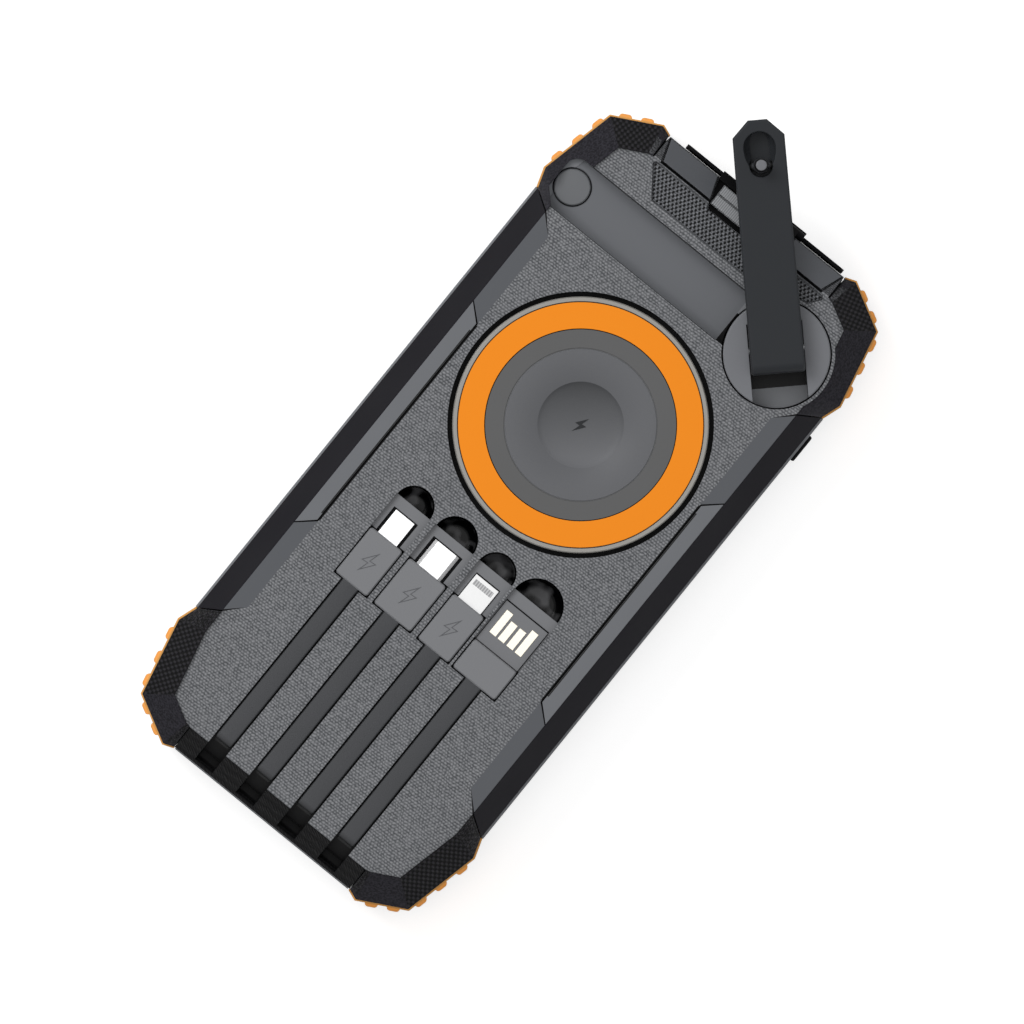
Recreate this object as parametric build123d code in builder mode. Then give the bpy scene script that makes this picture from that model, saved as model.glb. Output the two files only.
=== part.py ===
from build123d import *
import os
from math import acos, atan2, cos, degrees, hypot, pi, radians, sin, tan

# Hand crank power bank, lying on its solar side. X runs across it, Y towards the
# crank end, Z up to the back face. The origin is the middle of the rest plane.

# Levels of the casing, from the rest plane up
front_height = 5.0        # solar side tray
frame_top = 16.0          # grey band all round
shoulder_z = 24.0         # lower edge of the sloping shoulders
face_z = 33.0             # back face
guard_proud = 0.6         # corner guards stand above the face
end_slope_z = 30.0        # outer edge of the slope at the crank end

# Outline of the casing
half_width = 41.2         # over the side rails
top_y = 87.2
bottom_y = -89.9
shoulder_run = 4.9        # width of the slope along the sides
skin = 2.0                # thickness of rails and guards over the case
wall = 2.2
face_thickness = 3.8
frame_proud = 0.6         # the grey band stands out past the rails
frame_top_proud = 0.4
frame_bottom_proud = 0.5

# A corner guard, as steps in from the casing's corner: outer edge, inner edge, case below
guard_outer = [(-15.6, 0.1), (-13.25, 1.0), (-2.6, -4.7), (1.5, -22.9), (0.0, -27.4)]
guard_inner = [(-15.6, -5.8), (-14.6, -6.1), (-8.55, -9.3), (-4.95, -24.8), (-4.9, -30.6)]
guard_core = [(-15.6, -2.0), (-5.0, -7.2), (-2.0, -20.7)]
end_corner_x = half_width - 15.6   # where guards meet the ends

# Orange bumper under each guard
bumper_low = 6.5
bumper_high = 19.0
bumper_proud = 0.45
bumper_depth = 1.1
stud_length = 3.0
stud_height = 0.8
stud_width = bumper_depth + bumper_proud + stud_height
stud_shift = stud_width / 2 - bumper_depth
stud_margin = 1.5
stud_shares = [(), (0.3, 0.72), (0.17, 0.48, 0.8)]   # along each edge of a corner

# Side rails and inserts
rail_gap = 0.3
insert_inner_x = half_width - 8.6
insert_groove = 0.35
insert_top_y = top_y - 60.2
insert_bottom_y = bottom_y + 60.1
insert_slant = 3.4
insert_depth = 1.2
insert_proud = 0.1

# Solar side
panel_margin = 5.0
glass_thickness = 1.4      # its underside is the rest face
panel_thickness = 1.2
tray_floor = 1.6
tray_chamfer = 1.6

# Crank: hub, arm and peg. The arm lies along arm_angle, turned out over the case.
hub_x, hub_y = half_width - 16.95, top_y - 22.95
arm_angle = 133.9
hub_radius = 12.1
hub_gap = 0.35
collar_wall = 0.75
hub_proud = 0.8
hub_bottom = 22.8
pin_ahead = 1.15          # arm pin, ahead of the hub's middle
pin_z = 32.6
pin_radius = 0.8
pin_fit = 0.06
arm_lift = 1.5            # underside of the arm above its pin
arm_thickness = 5.0
arm_tail = 5.55
arm_length = 51.65
arm_base_half = 6.1
arm_tip_half = 5.85
arm_tip_cut = 3.7
tail_round = 2.2
slot_half = 6.3
slot_ahead = 6.05
fold_clearance = 0.4
swing_radius = 8.05
peg_reach = arm_length - 10.35
peg_pivot_lift = 2.75
peg_tip_radius = 1.35
peg_length = 7.4
peg_half = 1.95
trunnion_radius = 0.9
trunnion_half = 3.4
scoop_half = 3.65
scoop_end = arm_length - 2.6
peg_gap = 0.3

# Channel that the arm folds into
channel_low, channel_high = hub_y - 6.15, hub_y + 6.65
channel_end = 1.7 - half_width
channel_corner = 3.0
channel_cut = 3.4
channel_wall = 1.5
cap_x, cap_y = 4.3 + channel_end, hub_y + 0.35
cap_radius = 4.15
cap_gap = 0.35
cap_thickness = 1.4
cap_seat = 0.8

# Gear train under the crank
module = 0.7
pressure_angle = 25.0
addendum = 0.8
dedendum = 1.05
backlash = 0.14
drive_teeth, pinion_teeth = 33, 11
idler_teeth, rotor_teeth = 32, 10
gear_low = 17.4
gear_height = 2.6
idler_low = 15.0
idler_height = 2.0
shaft_radius = 2.5
axle_radius = 1.0
running_fit = 0.05
bush_wall = 1.6
bush_flange = 1.3
bush_flange_thickness = 0.3
hub_floor = 1.8
thrust_gap = 0.1
plate_low = 12.8
plate_thickness = 1.6
plate_margin = 3.0
leg_radius = 1.6
generator_radius = 12.5
can_wall = 0.8
coil_count = 9
coil_ring_radius = 7.9
coil_radius = 2.3
coil_bore = 0.9
coil_height = 1.5
rotor_gap = 0.4
rotor_height = 2.2

# Wireless pad
pad_y = hub_y - 40.15
pad_recess = 3.4
pad_disc_radius = 21.5
pad_band_inner = pad_disc_radius + 0.2
pad_ring_inner = pad_band_inner + 5.9
pad_ring_outer = pad_ring_inner + 1.3
pad_seat_radius = pad_ring_outer + 1.1
pad_proud = 0.3
dish_radius = 9.8
dish_depth = 1.1
pad_skin = 1.6
coil_gap = 0.3
coil_outer_radius = pad_disc_radius - 1.0
coil_inner_radius = dish_radius + 0.7
magnet_count = 16
magnet_outer = pad_ring_inner - 0.7
magnet_inner = pad_band_inner + 0.7
magnet_gap_angle = 4.0

# Built-in leads, laid out from the pad down. Each one has a name, middle x, plug half
# width, head half width, head front behind the scoop's edge, head thickness, scoop radius
leads = [
    ("micro", -17.6, 4.55, 2.65, 3.0, 1.9, 4.7),
    ("type_c", -5.75, 5.3, 3.4, 2.6, 2.5, 5.3),
    ("slim", 6.15, 4.45, 3.2, 2.9, 1.6, 4.7),
    ("usb", 17.9, 6.1, 5.95, 3.2, 4.5, 6.2),
]
scoop_y = pad_y - 37.9
scoop_depth = 7.0
ledge_depth = 1.2
plug_front = scoop_y - 9.5
usb_plug_front = scoop_y - 14.4
plug_back = scoop_y - 22.5
plug_thickness = 5.5
plug_gap = 0.3
head_gaps = {"micro": 0.75, "type_c": 0.75, "slim": 0.2, "usb": 0.15}
head_drop = 0.8
head_root = 3.0
cable_width = 4.4
cable_thickness = 1.7
cable_gap = 0.35
cable_drop = 0.3
lead_pivot_y = bottom_y + 7.6
root_gap = 0.3
contact_thickness = 0.12

# Port end: strap, flap and sockets
notch_half = 11.1
notch_y = top_y - 7.5
strap_gap = 0.3
strap_thickness = 2.2
strap_base = 1.0           # its thin part, between the bars
rib_rows = [(top_y - 5.8, top_y - 3.5), (top_y - 3.0, top_y - 0.9)]
rib_half = 8.6
rib_height = 0.5
flap_low_x, flap_high_x = -21.0, 24.2
flap_bottom = 4.0
flap_top = 24.0
flap_thickness = 0.8
flap_gap = 0.3                # between flap and grey band
flap_pivot_z = 27.2
neck_low_x, neck_high_x = -7.0, 12.5
bead_radius = 1.0
bead_gap = 0.08
mesh_low, mesh_side, mesh_high = top_y - 13.9, top_y - 7.0, top_y - 6.2
mesh_depth = 1.5
mesh_thickness = 0.9
plate_inner_x = 11.3
plate_outer_x = end_corner_x - 1.0
mesh_right = [(plate_outer_x - 0.6, mesh_high), (plate_outer_x, mesh_side), (plate_outer_x - 5.2, mesh_low)]
plate_lean = 1.8
plate_skin = 1.2
plate_gap = 0.45

# Board, sockets, battery and button
board_z = 5.0
board_thickness = 1.6
board_low_y, board_high_y = top_y - 50.7, top_y - 4.2
board_cut = (9.5, 5.0)
board_half = half_width - 8.2
usb_socket = (14.0, 13.2, 5.8, 14.0)      # x, width, height, depth
type_c_socket = (-10.0, 9.0, 3.3, 7.6)
socket_front = top_y - 0.3
socket_shell = 0.4
socket_gap = 0.15
cell_half = board_half - 1.0
cell_low_y, cell_high_y = bottom_y + 11.9, board_low_y - 3.5
cell_height = 8.8
cell_round = 3.0
button_y, button_z = hub_y - 12.75, 11.0
button_length, button_height = 7.0, 3.6
button_proud = 0.8
button_travel = 0.6
button_gap = 0.3
switch_gap = 0.15         # left when the button is pressed
screw_radius = 1.1
screw_head = 2.0
screw_head_height = 1.2
screw_length = 5.0

os.makedirs("parts", exist_ok=True)

# ---------------------------------------------------------------- helpers


def save(piece, name):
    piece.part.label = name
    export_step(piece.part, f"parts/{name}.step")


def both_sides(right):
    """A closed outline from its right half, listed from the crank end down."""
    return [(-x, y) for x, y in right] + list(reversed(right))


def corner(steps, side, end):
    """Points of one corner, stepped in from the casing's corner."""
    edge = top_y if end > 0 else bottom_y
    return [(side * (half_width + dx), edge + end * dy) for dx, dy in steps]


def prism(points, low, high):
    with BuildPart() as block:
        with BuildSketch(Plane.XY.offset(low)):
            with BuildLine():
                Polyline(*points, close=True)
            make_face()
        extrude(amount=high - low)
    return block.part


def bar(profile, low_x, high_x):
    """A profile of (y, z) points, drawn out along X."""
    with BuildPart() as block:
        with BuildSketch(Plane.YZ.offset(low_x)):
            with BuildLine():
                Polyline(*profile, close=True)
            make_face()
        extrude(amount=high_x - low_x)
    return block.part


def tube(radius, low, high, bore=0.0, x=0.0, y=0.0):
    with BuildPart() as block:
        with BuildSketch(Plane.XY.offset(low)):
            with Locations((x, y)):
                Circle(radius)
                if bore:
                    Circle(bore, mode=Mode.SUBTRACT)
        extrude(amount=high - low)
    return block.part


def slab(low_x, high_x, low_y, high_y, low_z, high_z):
    return prism([(low_x, low_y), (high_x, low_y), (high_x, high_y), (low_x, high_y)], low_z, high_z)


def shifted(points, distance):
    """An open line of points moved sideways, to its left, with mitred corners."""
    moved = []
    for i, (x, y) in enumerate(points):
        before = points[max(i - 1, 0)]
        after = points[min(i + 1, len(points) - 1)]
        a = atan2(y - before[1], x - before[0]) if i else None
        b = atan2(after[1] - y, after[0] - x) if i < len(points) - 1 else None
        a = b if a is None else a
        b = a if b is None else b
        middle = (a + b) / 2 if abs(a - b) < pi else (a + b) / 2 + pi
        reach = distance / cos((a - b) / 2) if abs(a - b) < pi else distance / cos((a - b) / 2 + pi)
        moved.append((x - reach * sin(middle), y + reach * cos(middle)))
    return moved


# ---------------------------------------------------------------- casing forms

core_right = (
    [(end_corner_x - plate_gap, top_y)]
    + corner(guard_core, 1, 1)
    + list(reversed(corner(guard_core, 1, -1)))
)
core_outline = both_sides(core_right)
core_shoulder = shoulder_z - skin / 2
slope_angle = degrees(atan2(shoulder_run, face_z - shoulder_z))
core_top = face_z - skin
field_right = corner(guard_inner, 1, 1) + list(reversed(corner(guard_inner, 1, -1)))
field_outline = both_sides(field_right)
collar_radius = hub_radius + hub_gap + collar_wall
end_inner_y = top_y - 5.5
end_profile = [
    (notch_y - 4, frame_top),
    (top_y, frame_top),
    (top_y, end_slope_z),
    (end_inner_y, face_z),
    (notch_y - 4, face_z),
]
end_block = bar(end_profile, plate_gap - end_corner_x, end_corner_x - plate_gap)
field_block = prism(field_outline, core_top - 5, face_z)
hub_well_low = hub_bottom - thrust_gap - bush_flange_thickness - hub_floor
collar_block = tube(collar_radius, hub_well_low, face_z, x=hub_x, y=hub_y)

with BuildPart() as case_form:
    with BuildSketch(Plane.XY.offset(frame_top)):
        with BuildLine():
            Polyline(*core_outline, close=True)
        make_face()
    extrude(amount=core_shoulder - frame_top)
    with BuildSketch(Plane.XY.offset(core_shoulder)):
        with BuildLine():
            Polyline(*core_outline, close=True)
        make_face()
    extrude(amount=core_top - core_shoulder, taper=slope_angle)
    add(end_block)
    add(field_block)
    add(collar_block)

ceiling = face_z - face_thickness
with BuildPart() as cavity:
    with BuildSketch(Plane.XY.offset(frame_top)):
        with BuildLine():
            Polyline(*core_outline, close=True)
        make_face()
        offset(amount=-wall, kind=Kind.INTERSECTION)
    extrude(amount=core_shoulder - frame_top)
    with BuildSketch(Plane.XY.offset(core_shoulder)):
        with BuildLine():
            Polyline(*core_outline, close=True)
        make_face()
        offset(amount=-wall, kind=Kind.INTERSECTION)
    extrude(amount=ceiling - core_shoulder, taper=slope_angle)


# Spaces that several pieces are cut by
channel_floor = pin_z - arm_lift - arm_thickness - fold_clearance
above = face_z + 3 * guard_proud
with BuildPart() as channel_space:
    with BuildSketch(Plane.XY.offset(channel_floor)) as channel_plan:
        with BuildLine():
            Polyline(
                (hub_x, channel_low),
                (channel_end + channel_cut, channel_low),
                (channel_end, channel_low + channel_cut),
                (channel_end, channel_high),
                (hub_x, channel_high),
                close=True,
            )
        make_face()
        fillet(channel_plan.vertices().group_by(Axis.X)[0].sort_by(Axis.Y)[-1], channel_corner)
    extrude(amount=above - channel_floor)

hub_seat = hub_bottom - thrust_gap - bush_flange_thickness
hub_space = tube(hub_radius + hub_gap, hub_seat, above, x=hub_x, y=hub_y)
collar_space = tube(collar_radius, hub_well_low, above, x=hub_x, y=hub_y)


def end_slope(y):
    """Height of the sloping end face at a place along Y."""
    return face_z + (end_slope_z - face_z) * (y - end_inner_y) / (top_y - end_inner_y)


notch_lean = 2.5
notch_plan = [
    (-notch_half, top_y),
    (notch_lean - notch_half, notch_y),
    (notch_half - notch_lean, notch_y),
    (notch_half, top_y),
]
strap_depth = 3.2
notch_profile = [
    (notch_y, face_z - strap_depth),
    (top_y + 1, end_slope_z - strap_depth),
    (top_y + 1, above),
    (notch_y, above),
]
with BuildPart() as notch_space:
    add(bar(notch_profile, -notch_half - 1, notch_half + 1))
    add(prism(notch_plan, 0, above), mode=Mode.INTERSECT)

# Sides of a built-in lead
lead_top = face_z - cable_drop
lead_pivot_z = lead_top - cable_thickness / 2
pocket_floor = face_z - plug_thickness - plug_gap
bottom_run = 6.1
bottom_drop = face_z - shoulder_z
slope_length = hypot(bottom_run, bottom_drop)
slope_along = (-bottom_run / slope_length, -bottom_drop / slope_length)
slope_out = (-bottom_drop / slope_length, bottom_run / slope_length)
slope_start = (bottom_y + bottom_run, face_z)


def on_slope(along, depth):
    """A point of the sloping bottom end, by its way down the slope and its depth under it."""
    return (
        slope_start[0] + along * slope_along[0] - depth * slope_out[0],
        slope_start[1] + along * slope_along[1] - depth * slope_out[1],
    )


root_drop = 0.25
root_leg = 1.8
root_reach = 4.2
root_start_y = lead_pivot_y - cable_thickness / 2 - root_gap
root_foot = on_slope(slope_length - 1.9, root_drop)
root_inner = on_slope(slope_length - 2.6, root_drop + cable_thickness)
leg_top = root_inner[1]
root_profile = [
    (root_start_y, lead_top),
    root_foot,
    (root_foot[0] + 0.5, leg_top - root_leg),
    (root_foot[0] + root_reach, leg_top - root_leg),
    (root_foot[0] + root_reach, leg_top),
    root_inner,
    (root_start_y, lead_top - cable_thickness - 1.2),
]
leg_gap = 0.2
leg_space_profile = [
    (root_foot[0] - 1, leg_top - root_leg - leg_gap),
    (root_foot[0] + root_reach + leg_gap, leg_top - root_leg - leg_gap),
    (root_foot[0] + root_reach + leg_gap, leg_top + leg_gap),
    (root_inner[0] - 1, leg_top + leg_gap),
]
trough_depth = root_drop + cable_thickness + cable_gap
trough_profile = [
    (slope_start[0] + 1.2, face_z - trough_depth),
    on_slope(0, trough_depth + 1.0),
    on_slope(slope_length - 1.3, trough_depth),
    on_slope(slope_length - 1.3, -3.0),
    (slope_start[0] + 1.2, above),
]


def lead_space(x, half, head_half, head_front, scoop_radius, front, head_gap):
    """Finger scoop, ledge, window and pocket of a lead, and the trough that its cable lies in."""
    with BuildPart() as space:
        with BuildSketch(Plane.XY.offset(face_z - scoop_depth)):
            with Locations((x, scoop_y)):
                Circle(scoop_radius)
                Rectangle(2 * scoop_radius, scoop_radius, align=(Align.CENTER, Align.MAX), mode=Mode.SUBTRACT)
        extrude(amount=above - face_z + scoop_depth)
        add(slab(x - half - plug_gap, x + half + plug_gap, front, scoop_y, face_z - ledge_depth, above))
        add(slab(x - head_half - head_gap, x + head_half + head_gap, front, head_front + plug_gap,
                 pocket_floor, above))
        add(slab(x - half - plug_gap, x + half + plug_gap, plug_back - plug_gap, front + plug_gap,
                 pocket_floor, above))
        add(slab(x - cable_width / 2 - cable_gap, x + cable_width / 2 + cable_gap,
                 slope_start[0] + 1, plug_back, lead_top - cable_thickness - cable_gap, above))
        add(bar(trough_profile, x - cable_width / 2 - cable_gap, x + cable_width / 2 + cable_gap))
        add(bar(leg_space_profile, x - cable_width / 2 - leg_gap, x + cable_width / 2 + leg_gap))
    return space.part


lead_spaces = []
for name, x, half, head_half, head_back, head_thickness, scoop_radius in leads:
    front = usb_plug_front if name == "usb" else plug_front
    head_front = scoop_y - head_back
    lead_spaces.append(lead_space(x, half, head_half, head_front, scoop_radius, front, head_gaps[name]))

# ---------------------------------------------------------------- back cover

scoop_top = scoop_y + max(lead[6] for lead in leads)
lead_low_x = min(lead[1] - lead[2] for lead in leads) - wall
lead_high_x = max(lead[1] + lead[2] for lead in leads) + wall
bush_outer = shaft_radius + running_fit + bush_wall
pad_floor = face_z - pad_recess
with BuildPart() as wells:
    add(slab(-half_width, hub_x, channel_low - wall, channel_high + wall,
             channel_floor - channel_wall, ceiling))
    add(slab(lead_low_x, lead_high_x, plug_back - wall, scoop_top + wall,
             face_z - scoop_depth - channel_wall, ceiling))
    add(tube(pad_seat_radius + channel_wall, pad_floor - channel_wall, ceiling, y=pad_y))
    add(collar_block)
    add(tube(hub_radius + hub_gap + wall, hub_well_low, ceiling, x=hub_x, y=hub_y))
    add(slab(-notch_half - wall, notch_half + wall, notch_y - wall, top_y,
             end_slope_z - strap_depth - wall, ceiling))
    add(case_form.part, mode=Mode.INTERSECT)

insert_plan = [
    (half_width - shoulder_run, insert_top_y + insert_slant),
    (insert_inner_x, insert_top_y),
    (insert_inner_x, insert_bottom_y),
    (half_width - shoulder_run, insert_bottom_y - insert_slant),
]
insert_seat_plan = [
    (half_width, insert_top_y + insert_slant + insert_groove),
    (half_width - shoulder_run, insert_top_y + insert_slant + insert_groove),
    (insert_inner_x - insert_groove, insert_top_y + insert_groove / 2),
    (insert_inner_x - insert_groove, insert_bottom_y - insert_groove / 2),
    (half_width - shoulder_run, insert_bottom_y - insert_slant - insert_groove),
    (half_width, insert_bottom_y - insert_slant - insert_groove),
]
plate_plan = [
    (plate_outer_x, top_y - plate_gap / 2),
    (plate_outer_x - plate_lean, end_inner_y + plate_gap / 2),
    (plate_inner_x - plate_lean, end_inner_y + plate_gap / 2),
    (plate_inner_x, top_y - plate_gap / 2),
]
plate_seat_plan = [
    (plate_outer_x + plate_gap, top_y - plate_gap / 2),
    (plate_outer_x - plate_lean + plate_gap, end_inner_y - plate_gap),
    (notch_half - notch_lean, end_inner_y - plate_gap),
    (notch_half - 1, top_y - plate_gap / 2),
]
plate_profile = [
    (end_inner_y - 1, end_slope(end_inner_y - 1)),
    (top_y + 1, end_slope(top_y + 1)),
    (top_y + 1, end_slope(top_y + 1) - plate_skin),
    (end_inner_y - 1, end_slope(end_inner_y - 1) - plate_skin),
]
plate_seat_profile = [
    (end_inner_y - 1, above),
    (top_y + 1, above),
    (top_y + 1, end_slope(top_y + 1) - plate_skin),
    (end_inner_y - 1, end_slope(end_inner_y - 1) - plate_skin),
]


def mirror_x(points, side):
    return [(side * x, y) for x, y in points]


mesh_points = both_sides(mesh_right)
with BuildPart() as mesh_space:
    add(prism(mesh_points, face_z - mesh_depth, above))
    add(collar_space, mode=Mode.SUBTRACT)

with BuildPart() as plate_space:
    for side in (1, -1):
        add(prism(mirror_x(plate_seat_plan, side), face_z - 8, above))
    add(bar(plate_seat_profile, -end_corner_x, end_corner_x), mode=Mode.INTERSECT)

cap_low = channel_floor - cap_seat
cap_seat_hole = tube(cap_radius + cap_gap, cap_low, channel_floor, x=cap_x, y=cap_y)
with BuildPart() as back_cover:
    add(case_form.part)
    add(cavity.part, mode=Mode.SUBTRACT)
    add(wells.part)
    add(channel_space.part, mode=Mode.SUBTRACT)
    add(hub_space, mode=Mode.SUBTRACT)
    add(tube(bush_outer, hub_well_low - 1, hub_seat, x=hub_x, y=hub_y), mode=Mode.SUBTRACT)
    add(tube(pad_seat_radius, pad_floor, above, y=pad_y), mode=Mode.SUBTRACT)
    add(mesh_space.part, mode=Mode.SUBTRACT)
    add(plate_space.part, mode=Mode.SUBTRACT)
    add(notch_space.part, mode=Mode.SUBTRACT)
    for side in (1, -1):
        seat = prism(mirror_x(insert_seat_plan, side), face_z - insert_depth, above)
        add(seat, mode=Mode.SUBTRACT)
    for space in lead_spaces:
        add(space, mode=Mode.SUBTRACT)
    add(cap_seat_hole, mode=Mode.SUBTRACT)
save(back_cover, "back_cover")

# ---------------------------------------------------------------- grey band and solar side

side_end_top = top_y + guard_outer[-1][1]
side_end_bottom = bottom_y - guard_outer[-1][1]
side_middle = (side_end_top + side_end_bottom) / 2
side_length = side_end_top - side_end_bottom - rail_gap


def band(low, high, side_reach, top_reach, bottom_reach):
    """The casing's outline as a solid slice, with its sides and ends reaching past the case."""
    end_half = end_corner_x - plate_gap
    with BuildPart() as block:
        with BuildSketch(Plane.XY.offset(low)):
            with BuildLine():
                Polyline(*core_outline, close=True)
            make_face()
            with Locations((0, side_middle)):
                Rectangle(2 * side_reach, side_length)
            with Locations((0, (top_reach + bottom_reach) / 2)):
                Rectangle(2 * end_half, top_reach - bottom_reach)
        extrude(amount=high - low)
    return block.part


def case_room(low, high):
    """The room inside the casing's walls."""
    with BuildPart() as block:
        with BuildSketch(Plane.XY.offset(low)):
            with BuildLine():
                Polyline(*core_outline, close=True)
            make_face()
            offset(amount=-wall, kind=Kind.INTERSECTION)
        extrude(amount=high - low)
    return block.part


frame_form = band(front_height, frame_top, half_width + frame_proud, top_y + frame_top_proud,
                  bottom_y - frame_bottom_proud)
tray_form = band(0, front_height, half_width, top_y, bottom_y)

button_x = half_width + frame_proud
button_hole = (button_length + 2 * button_gap, button_height + 2 * button_gap)
board_top = board_z + board_thickness

with BuildPart() as side_frame:
    add(frame_form)
    add(case_room(front_height, frame_top), mode=Mode.SUBTRACT)
    with BuildSketch(Plane.YZ.offset(half_width - skin - wall - 1)):
        with Locations((button_y, button_z)):
            RectangleRounded(*button_hole, button_hole[1] / 2 - 0.05)
    extrude(amount=skin + wall + 3, mode=Mode.SUBTRACT)
    for x, width, height, depth in (usb_socket, type_c_socket):
        mouth = slab(x - width / 2 - socket_gap, x + width / 2 + socket_gap, top_y - 3 * wall, top_y + 1,
                     board_top, board_top + height + socket_gap)
        add(mouth, mode=Mode.SUBTRACT)
save(side_frame, "side_frame")

pillar_low_y, pillar_high_y = hub_y - 10.25, hub_y + 10.25
pillars = [(-20.5, pillar_low_y), (-20.5, pillar_high_y), (27.5, pillar_low_y), (27.5, pillar_high_y)]
post_y = board_low_y + 5.5
posts = [(-28.0, post_y), (28.0, post_y), (0.0, board_high_y - 5.0), (0.0, post_y)]
panel_size = (2 * (half_width - panel_margin), top_y - bottom_y - 4 * panel_margin)
panel_y = (top_y + bottom_y) / 2
panel_corner = 4.0
panel_depth = glass_thickness + panel_thickness
tray_inside = panel_depth + tray_floor
with BuildPart() as front_cover:
    add(tray_form)
    chamfer(front_cover.edges().group_by(Axis.Z)[0], tray_chamfer)
    with BuildSketch(Plane.XY):
        with Locations((0, panel_y)):
            RectangleRounded(*panel_size, panel_corner)
    extrude(amount=panel_depth, mode=Mode.SUBTRACT)
    add(case_room(tray_inside, front_height), mode=Mode.SUBTRACT)
    with BuildSketch(Plane.XY.offset(tray_inside)):
        with Locations(*posts):
            Circle(leg_radius)
    extrude(amount=board_z - tray_inside)
    with BuildSketch(Plane.XY.offset(tray_inside)):
        with Locations(*pillars):
            Circle(leg_radius)
    extrude(amount=plate_low - tray_inside)
    with Locations(*[(x, y, plate_low) for x, y in pillars]):
        Hole(screw_radius, depth=screw_length)
save(front_cover, "front_cover")

for name, low, high in (
    ("panel_glass", 0, glass_thickness),
    ("solar_panel", glass_thickness, panel_depth),
):
    with BuildPart() as sheet:
        with BuildSketch(Plane.XY.offset(low)):
            with Locations((0, panel_y)):
                RectangleRounded(*panel_size, panel_corner)
        extrude(amount=high - low)
    save(sheet, name)

# ---------------------------------------------------------------- rails, inserts and end pieces

rail_inner_drop = 4.5
rail_profile = [
    (half_width - shoulder_run, face_z),
    (half_width, shoulder_z),
    (half_width, frame_top),
    (half_width - skin, frame_top),
    (half_width - skin, shoulder_z - 1),
    (half_width - shoulder_run, face_z - rail_inner_drop),
]
rail_end_top = top_y + guard_inner[-1][1]
rail_end_bottom = bottom_y - guard_inner[-1][1]
for side, name in ((-1, "side_rail_left"), (1, "side_rail_right")):
    plan = [
        (side * half_width, side_end_top - rail_gap),
        (side * (half_width - shoulder_run), rail_end_top - rail_gap),
        (side * (half_width - shoulder_run), rail_end_bottom + rail_gap),
        (side * half_width, side_end_bottom + rail_gap),
    ]
    rail_plan = prism(plan, frame_top, face_z)
    with BuildPart() as side_rail:
        with BuildSketch(Plane.XZ.offset(-side_end_top)):
            with BuildLine():
                Polyline(*mirror_x(rail_profile, side), close=True)
            make_face()
        extrude(amount=side_end_top - side_end_bottom)
        add(rail_plan, mode=Mode.INTERSECT)
        add(case_form.part, mode=Mode.SUBTRACT)
    save(side_rail, name)

with BuildPart() as side_inserts:
    for side in (1, -1):
        add(prism(mirror_x(insert_plan, side), face_z - insert_depth, face_z + insert_proud))
save(side_inserts, "side_inserts")

with BuildPart() as end_plates:
    for side in (1, -1):
        add(prism(mirror_x(plate_plan, side), face_z - 8, above))
    add(bar(plate_profile, -end_corner_x, end_corner_x), mode=Mode.INTERSECT)
save(end_plates, "end_plates")

mesh_inset = 0.3
with BuildPart() as mesh_panel:
    with BuildSketch(Plane.XY.offset(face_z - mesh_depth)):
        with BuildLine():
            Polyline(*mesh_points, close=True)
        make_face()
        offset(amount=-mesh_inset, kind=Kind.INTERSECTION)
        with Locations((hub_x, hub_y)):
            Circle(collar_radius + mesh_inset, mode=Mode.SUBTRACT)
    extrude(amount=mesh_thickness)
    add(notch_space.part, mode=Mode.SUBTRACT)
save(mesh_panel, "mesh_panel")

end_guard_half = end_corner_x - 0.2
end_guard_profile = [
    (slope_start[0] + 1, face_z),
    slope_start,
    (bottom_y, shoulder_z),
    (bottom_y, frame_top),
    (bottom_y + 6, frame_top),
]
with BuildPart() as end_guard:
    add(bar(end_guard_profile, -end_guard_half, end_guard_half))
    add(case_form.part, mode=Mode.SUBTRACT)
    for space in lead_spaces:
        add(space, mode=Mode.SUBTRACT)
save(end_guard, "end_guard")

# ---------------------------------------------------------------- corner guards and bumpers

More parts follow.
